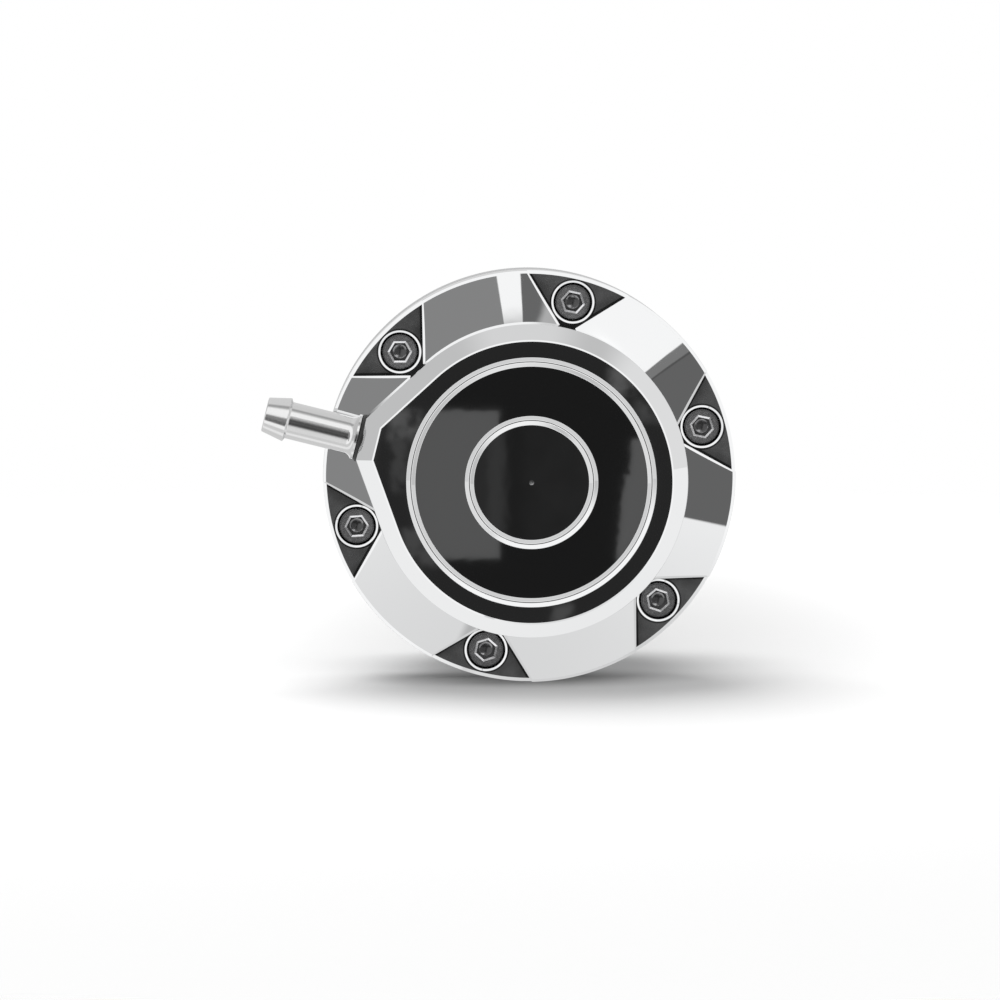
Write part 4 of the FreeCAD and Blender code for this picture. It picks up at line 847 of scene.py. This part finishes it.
def make_screw():
    """One screw on the Y axis, with an eased mouth and a drilled bottom in its socket."""
    seat = HEAD_TOP + HEAD_HEIGHT
    tip = seat + SHANK_LENGTH
    screw = lathe("screw", turned([
        (0, HEAD_TOP), (HEAD_FLAT, HEAD_TOP, 0.1), (HEAD - 0.1, HEAD_TOP + 0.35, 0.2),
        (HEAD, HEAD_TOP + 0.8, 0.3), (HEAD, seat, 0.05),
        (SHANK, seat), (SHANK, tip - EDGE), (SHANK - EDGE, tip), (0, tip)]), 96)
    corner = HEX / math.sqrt(3)
    corners = [(corner * math.cos(math.radians(60 * k)), corner * math.sin(math.radians(60 * k)))
               for k in range(6)]
    wide = (corner + SOCKET_MOUTH) / corner
    ease = SOCKET_MOUTH * math.cos(math.radians(30)) * math.tan(math.radians(15.5))
    spots = [(x * (2 * wide - 1), HEAD_TOP - ease, z * (2 * wide - 1)) for x, z in corners]
    spots += [(x, HEAD_TOP + ease, z) for x, z in corners]
    faces = [tuple(range(6)), tuple(range(6, 12))]
    faces += [(i, (i + 1) % 6, 6 + (i + 1) % 6, 6 + i) for i in range(6)]
    carve(screw, [
        prism("socket", corners, HEAD_TOP - 1, HEAD_TOP + SOCKET_DEPTH),
        flat_solid("mouth", spots, faces),
        bowl_tool(HEAD_TOP + SOCKET_DEPTH, 1.3, 0.17, 8, 48)])
    set_normals(screw)
    return screw


def set_screws(tree, spots, circle, first, screw, steel):
    """One screw on each point, spread evenly round a circle and turned to its stopped angle."""
    number = tree.node("GeometryNodeInputIndex")[0]
    angle = first + number * SCREW_STEP
    spot = tree.node("ShaderNodeCombineXYZ", {0: circle * angle.math("COSINE"),
                                              2: circle * angle.math("SINE")})[0]
    spots = tree.node("GeometryNodeSetPosition", {"Geometry": spots, "Position": spot})[0]
    stopped = tree.node("GeometryNodeInputNamedAttribute", {"Name": "stopped"},
                        data_type="FLOAT")[0]
    turn = tree.node("ShaderNodeCombineXYZ", {1: 0 - stopped})[0]
    head = tree.node("GeometryNodeObjectInfo", {"Object": screw})[4]
    heads = tree.node("GeometryNodeInstanceOnPoints", {
        "Points": spots, "Instance": head, "Rotation": turn})[0]
    heads = tree.node("GeometryNodeRealizeInstances", {"Geometry": heads})[0]
    return tree.node("GeometryNodeSetMaterial", {"Geometry": heads, "Material": steel})[0]


def make_screws():
    spots = bpy.data.meshes.new("screw_spots")
    spots.from_pydata([(0, 0, 0)] * 6, [], [])
    stopped = spots.attributes.new("stopped", "FLOAT", "POINT")
    stopped.data.foreach_set("value", [math.radians(angle) for angle in SOCKET_ANGLES])
    screw = make_screw()
    steel = screw_steel()
    screws = grow("cap_screws_dark", spots, [
        ("Circle", "NodeSocketFloat", SCREW_CIRCLE * MM),
        ("First angle", "NodeSocketFloat", SCREW_ANGLES[0]),
        ("Screw", "NodeSocketObject", screw),
        ("Steel", "NodeSocketMaterial", steel)], set_screws)
    bpy.data.objects.remove(screw)
    fit(screws, "housing", "cap_screws", steel)


make_screws()


# Hose barb. Bright turned tube with a bead near its tip and a flared collar, screwed into the
# facet of the boss on a dark rubber ring.
def make_barb():
    finish = Finish("barb_steel", (0.86, 0.86, 0.86), 1.0, 0.14)
    finish.turning_marks(2.6, 1.2, (0, PORT_HEIGHT, 0), PORT)
    bore, stub, collar, tube, bead, root, seat, tip = 2.0, 3.0, 4.2, 3.4, 4.05, 24.0, 32.6, 50.0
    barb = lathe("hose_barb_turned", turned([
        (bore, root), (stub - EDGE, root), (stub, root + EDGE), (stub, seat),
        (collar, seat, SOFT), (collar, seat + 0.45), (tube, seat + 0.92, 1.62),
        (tube, 45.5, 0.15), (bead, 45.85, 0.12), (3.15, tip, 0.25), (bore + EDGE, tip, 0.05),
        (bore, tip - EDGE)]), 160, sideways(PORT_HEIGHT, PORT))
    set_normals(barb)
    fit(barb, "housing", "hose_barb", finish.material)


make_barb()
dress(rubber, "barb_seal")


# Rod end. A threaded steel eye with a bronze bush pressed in for the lever's pin. It screws on
# the tip of the rod, and a thin zinc-plated nut locks it there.
eye_steel = Finish("rod_end_steel", (0.6, 0.6, 0.6), 1.0, 0.26)
wear(eye_steel, 3.0, 0.06, 3.0)
dress(eye_steel, "rod_end")
dress(zinc, "jam_nut")
dress(bronze, "eye_bush")


# Floor. Plain white paper under the rim on which the part stands. Its colour carries a painted
# wide shadow behind the part and a painted contact shadow where the rim touches it, and it fades
# out far away.
def make_floor():
    mesh = bpy.data.meshes.new("floor")
    near, far, half, level = -0.6, 2.5, 2.0, -RIM * MM
    mesh.from_pydata([(-half, near, level), (half, near, level), (half, far, level),
                      (-half, far, level)], [], [(0, 1, 2, 3)])
    paper = Finish("paper", (0.9, 0.9, 0.9), 0.0, 1.0, Specular_IOR_Level=0.0)
    x, y, _ = paper.place()

    def oval(middle_x, middle_y, half_width, half_depth):
        """1 in the middle of an oval on the paper and 0 well outside it."""
        side = (x - middle_x) / half_width
        return side.hypot((y - middle_y) / half_depth).under(0.75, 0.6)

    # Painted shadows in the paper's colour: a wide soft one behind the part and a dark one where
    # the rim touches the floor.
    shade = oval(14, 70, 75, 180)
    painted_contact_shadow = oval(0, -46, 26, 14)
    paper.colour((1 - shade * 0.27) * (1 - painted_contact_shadow * 0.6), (0.9, 0.9, 0.9))
    away = x.hypot(y + 30).over(300, 150)
    clear = paper.node("ShaderNodeBsdfTransparent")[0]
    surface = Wire(paper, paper.shader.outputs[0])
    mix = paper.node("ShaderNodeMixShader", {0: away, 1: surface, 2: clear})[0]
    paper.tree.links.new(mix.socket, paper.tree.nodes["Material Output"].inputs["Surface"])
    mesh.materials.append(paper.material)
    floor = bpy.data.objects.new("floor", mesh)
    bpy.context.scene.collection.objects.link(floor)
    floor.visible_glossy = False


make_floor()


# Surroundings, as the polished faces see them: a white tent and floor, a soft box and grey
# screens in front, and the black space round the camera. The room leans from the part's axis.
def make_surroundings():
    world = bpy.data.worlds.new("studio")
    bpy.context.scene.world = world
    world.use_nodes = True
    room = Tree(world.node_tree)
    world.node_tree.nodes.clear()
    gaze = room.node("ShaderNodeTexCoord")[0]
    x, y, z = room.node("ShaderNodeSeparateXYZ", {0: gaze})
    facing = 0 - y
    front = facing.math("MAXIMUM", 0.02)
    u = x / front
    w = z / front

    # The flat boss looks at the middle, the sloping flange at a ring round it.
    middle_u, middle_w, tent_edge = 0.03, -0.077, 0.56
    from_middle = (u - middle_u).hypot(w - middle_w)
    before_part = facing.over(0.3, 0.05)
    ahead = from_middle.under(tent_edge, 0.004) * before_part
    ring = from_middle.within(0.47, 0.57, 0.005)
    tilt = math.radians(11.9)
    upright = z * math.cos(tilt) - y * math.sin(tilt)
    below = upright.under(0.0, 0.003)

    tent = 0.56 + x.within(-0.38, 0.3, 0.16) * 0.145 + x.over(0.62, 0.12) * 0.22
    tent = tent.turn_to(0.36, z.within(0.9, 0.99, 0.03) * facing.over(0.1, 0.02))
    tent = tent.turn_to(0.68 + y.within(-0.16, 0.16, 0.08) * 0.24, below)
    tent = tent.turn_to(1.0, facing.within(0.5, 1.1, 0.015))
    tent = tent.turn_to(0.25, from_middle.within(tent_edge, 0.68, 0.01) * u.over(0.1, 0.1))

    screens = room.even(0.141).turn_to(0.245, u.under(-0.05, 0.002))
    screens = screens.turn_to(1.0, u.within(-0.05, 0.007, 0.0015) * w.over(0.2, 0.02) * ring)
    screens = screens.turn_to(1.0, u.over(0.17, 0.004) * w.over(0.24, 0.002))
    spot = (u - 0.25).hypot(w - 0.2).under(0.15, 0.03)
    screens = screens.turn_to(1.6, spot * (1 - ring))
    right = u.over(0.1, 0.01) * w.under(0.24, 0.002)
    screens = screens.turn_to(0.13, right)
    screens = screens.turn_to(0.2, right * w.within(0.22, 0.24, 0.002))
    screens = screens.turn_to(0.09, right * w.within(0.216, 0.22, 0.001))
    screens = screens.turn_to(0.065, below)
    screens = screens.turn_to(0.95 + w * 0.36 + u * 0.07, below * ring)

    # Round the camera: its place seen in the flat boss, in millimetres on the boss.
    reach, outer_groove = 885.0, 22.0
    across = (u - 0.027) * reach
    rise = (w - middle_w) * reach
    from_axis = across.hypot(rise)
    outer = from_axis.over(outer_groove, 0.3)
    inner = from_axis.under(outer_groove, 0.3)
    streaks = room.grain(across, rise, 0.0, 0.35, 3.0)
    dark = room.even(0.011).turn_to(0.02, outer)
    bowl = 0.012 + across.over(2.9, 0.4) * 0.012 + across.within(3.2, 4.9, 0.5) * 0.014
    bowl = bowl + streaks * 0.012 * across.under(1.0, 2.0)
    dark = dark.turn_to(bowl, from_axis.under(8.0, 0.5))
    left = across.under(-5.7, 0.1) * rise.within(-14.3, 12.8, 0.15) * inner
    left = left * from_axis.over(10.0, 0.5)
    dark = dark.turn_to(0.094, left)
    edge = across - rise.under(1.0, 0.2) * (rise * 0.093 - 1.2) + (streaks - 0.5) * 0.6
    slip = edge.over(18.2, 0.12) * rise.under(7.6, 0.3) * inner
    dark = dark.turn_to(0.096, slip)
    for low, high, bottom, top, glow in (
            (-26.0, -20.0, 7.2, 13.0, 0.09), (-25.5, -22.5, -2.0, 7.2, 0.05),
            (-23.5, -17.0, -16.0, -8.7, 0.06), (3.8, 7.6, -26.5, -22.0, 0.07),
            (14.0, 19.0, 15.5, 20.5, 0.1), (19.0, 24.0, 10.5, 14.5, 0.06)):
        patch = across.within(low, high, 0.8) * rise.within(bottom, top, 0.8)
        dark = dark.turn_to(glow, patch * outer * streaks.over(0.45, 0.12))
    screens = screens.turn_to(dark, from_axis.under(29.5, 0.8))
    light = tent.turn_to(screens, ahead)

    # The hose barb sees a plane through the middle; its bead sees one farther to the left.
    fade = w.math("MAXIMUM", 0.0).math("POWER", 2.2) * 3.1 + w.under(-0.5, 0.22) * 0.66
    aside = (u - w * 0.25).math("ABSOLUTE") + ring * 0.03
    barb = aside.under(0.06, 0.015) * w.within(-1.7, 0.5, 0.02)
    light = light.turn_to(0.05 + fade, barb * from_middle.over(0.06, 0.01))
    outward = w * PORT.z + u * PORT.x
    upward = w * -PORT.x + u * PORT.z
    bead = outward.within(0.42, 0.6, 0.02) * upward.within(-0.72, 0.08, 0.08)
    light = light.turn_to(0.06, bead * from_middle.over(tent_edge, 0.004) * before_part)

    seen = room.node("ShaderNodeLightPath")[0]
    lit = room.node("ShaderNodeBackground", {0: (1, 1, 1, 1), 1: light.turn_to(1.0, seen)})[0]
    room.node("ShaderNodeOutputWorld", {0: lit})


make_surroundings()


# Lamp. One soft lamp above the part, a little behind it and to the left. It draws the shadow on
# the floor; the polished faces don't see it.
def make_lamp():
    lamp = bpy.data.lights.new("key", "AREA")
    lamp.size = 0.6
    lamp.energy = 5.4
    place = Vector((-0.14, 0.26, 0.75))
    thing = bpy.data.objects.new("key", lamp)
    bpy.context.scene.collection.objects.link(thing)
    thing.location = place
    thing.rotation_euler = (-place).to_track_quat("-Z", "Y").to_euler()
    thing.visible_glossy = False


make_lamp()


# Camera. Nearly end-on, a little above the axis and to the left of it, with a long lens that
# takes in 18 centimetres across at the cap.
def make_camera():
    camera = bpy.data.cameras.new("camera")
    camera.sensor_width = 36.0
    camera.lens = 175.5
    camera.shift_x = -0.0295
    camera.shift_y = -0.0232
    camera.clip_start = 0.01
    camera.clip_end = 20
    thing = bpy.data.objects.new("camera", camera)
    bpy.context.scene.collection.objects.link(thing)
    rise, turn, distance = math.radians(4.36), math.radians(1.53), 0.9
    back = Vector((-math.sin(turn) * math.cos(rise), -math.cos(turn) * math.cos(rise),
                   math.sin(rise)))
    thing.location = Vector((0, RIM_TOP * MM, 0)) + back * distance
    thing.rotation_euler = (-back).to_track_quat("-Z", "Y").to_euler()
    bpy.context.scene.camera = thing


make_camera()
bpy.context.scene.view_settings.view_transform = "Standard"
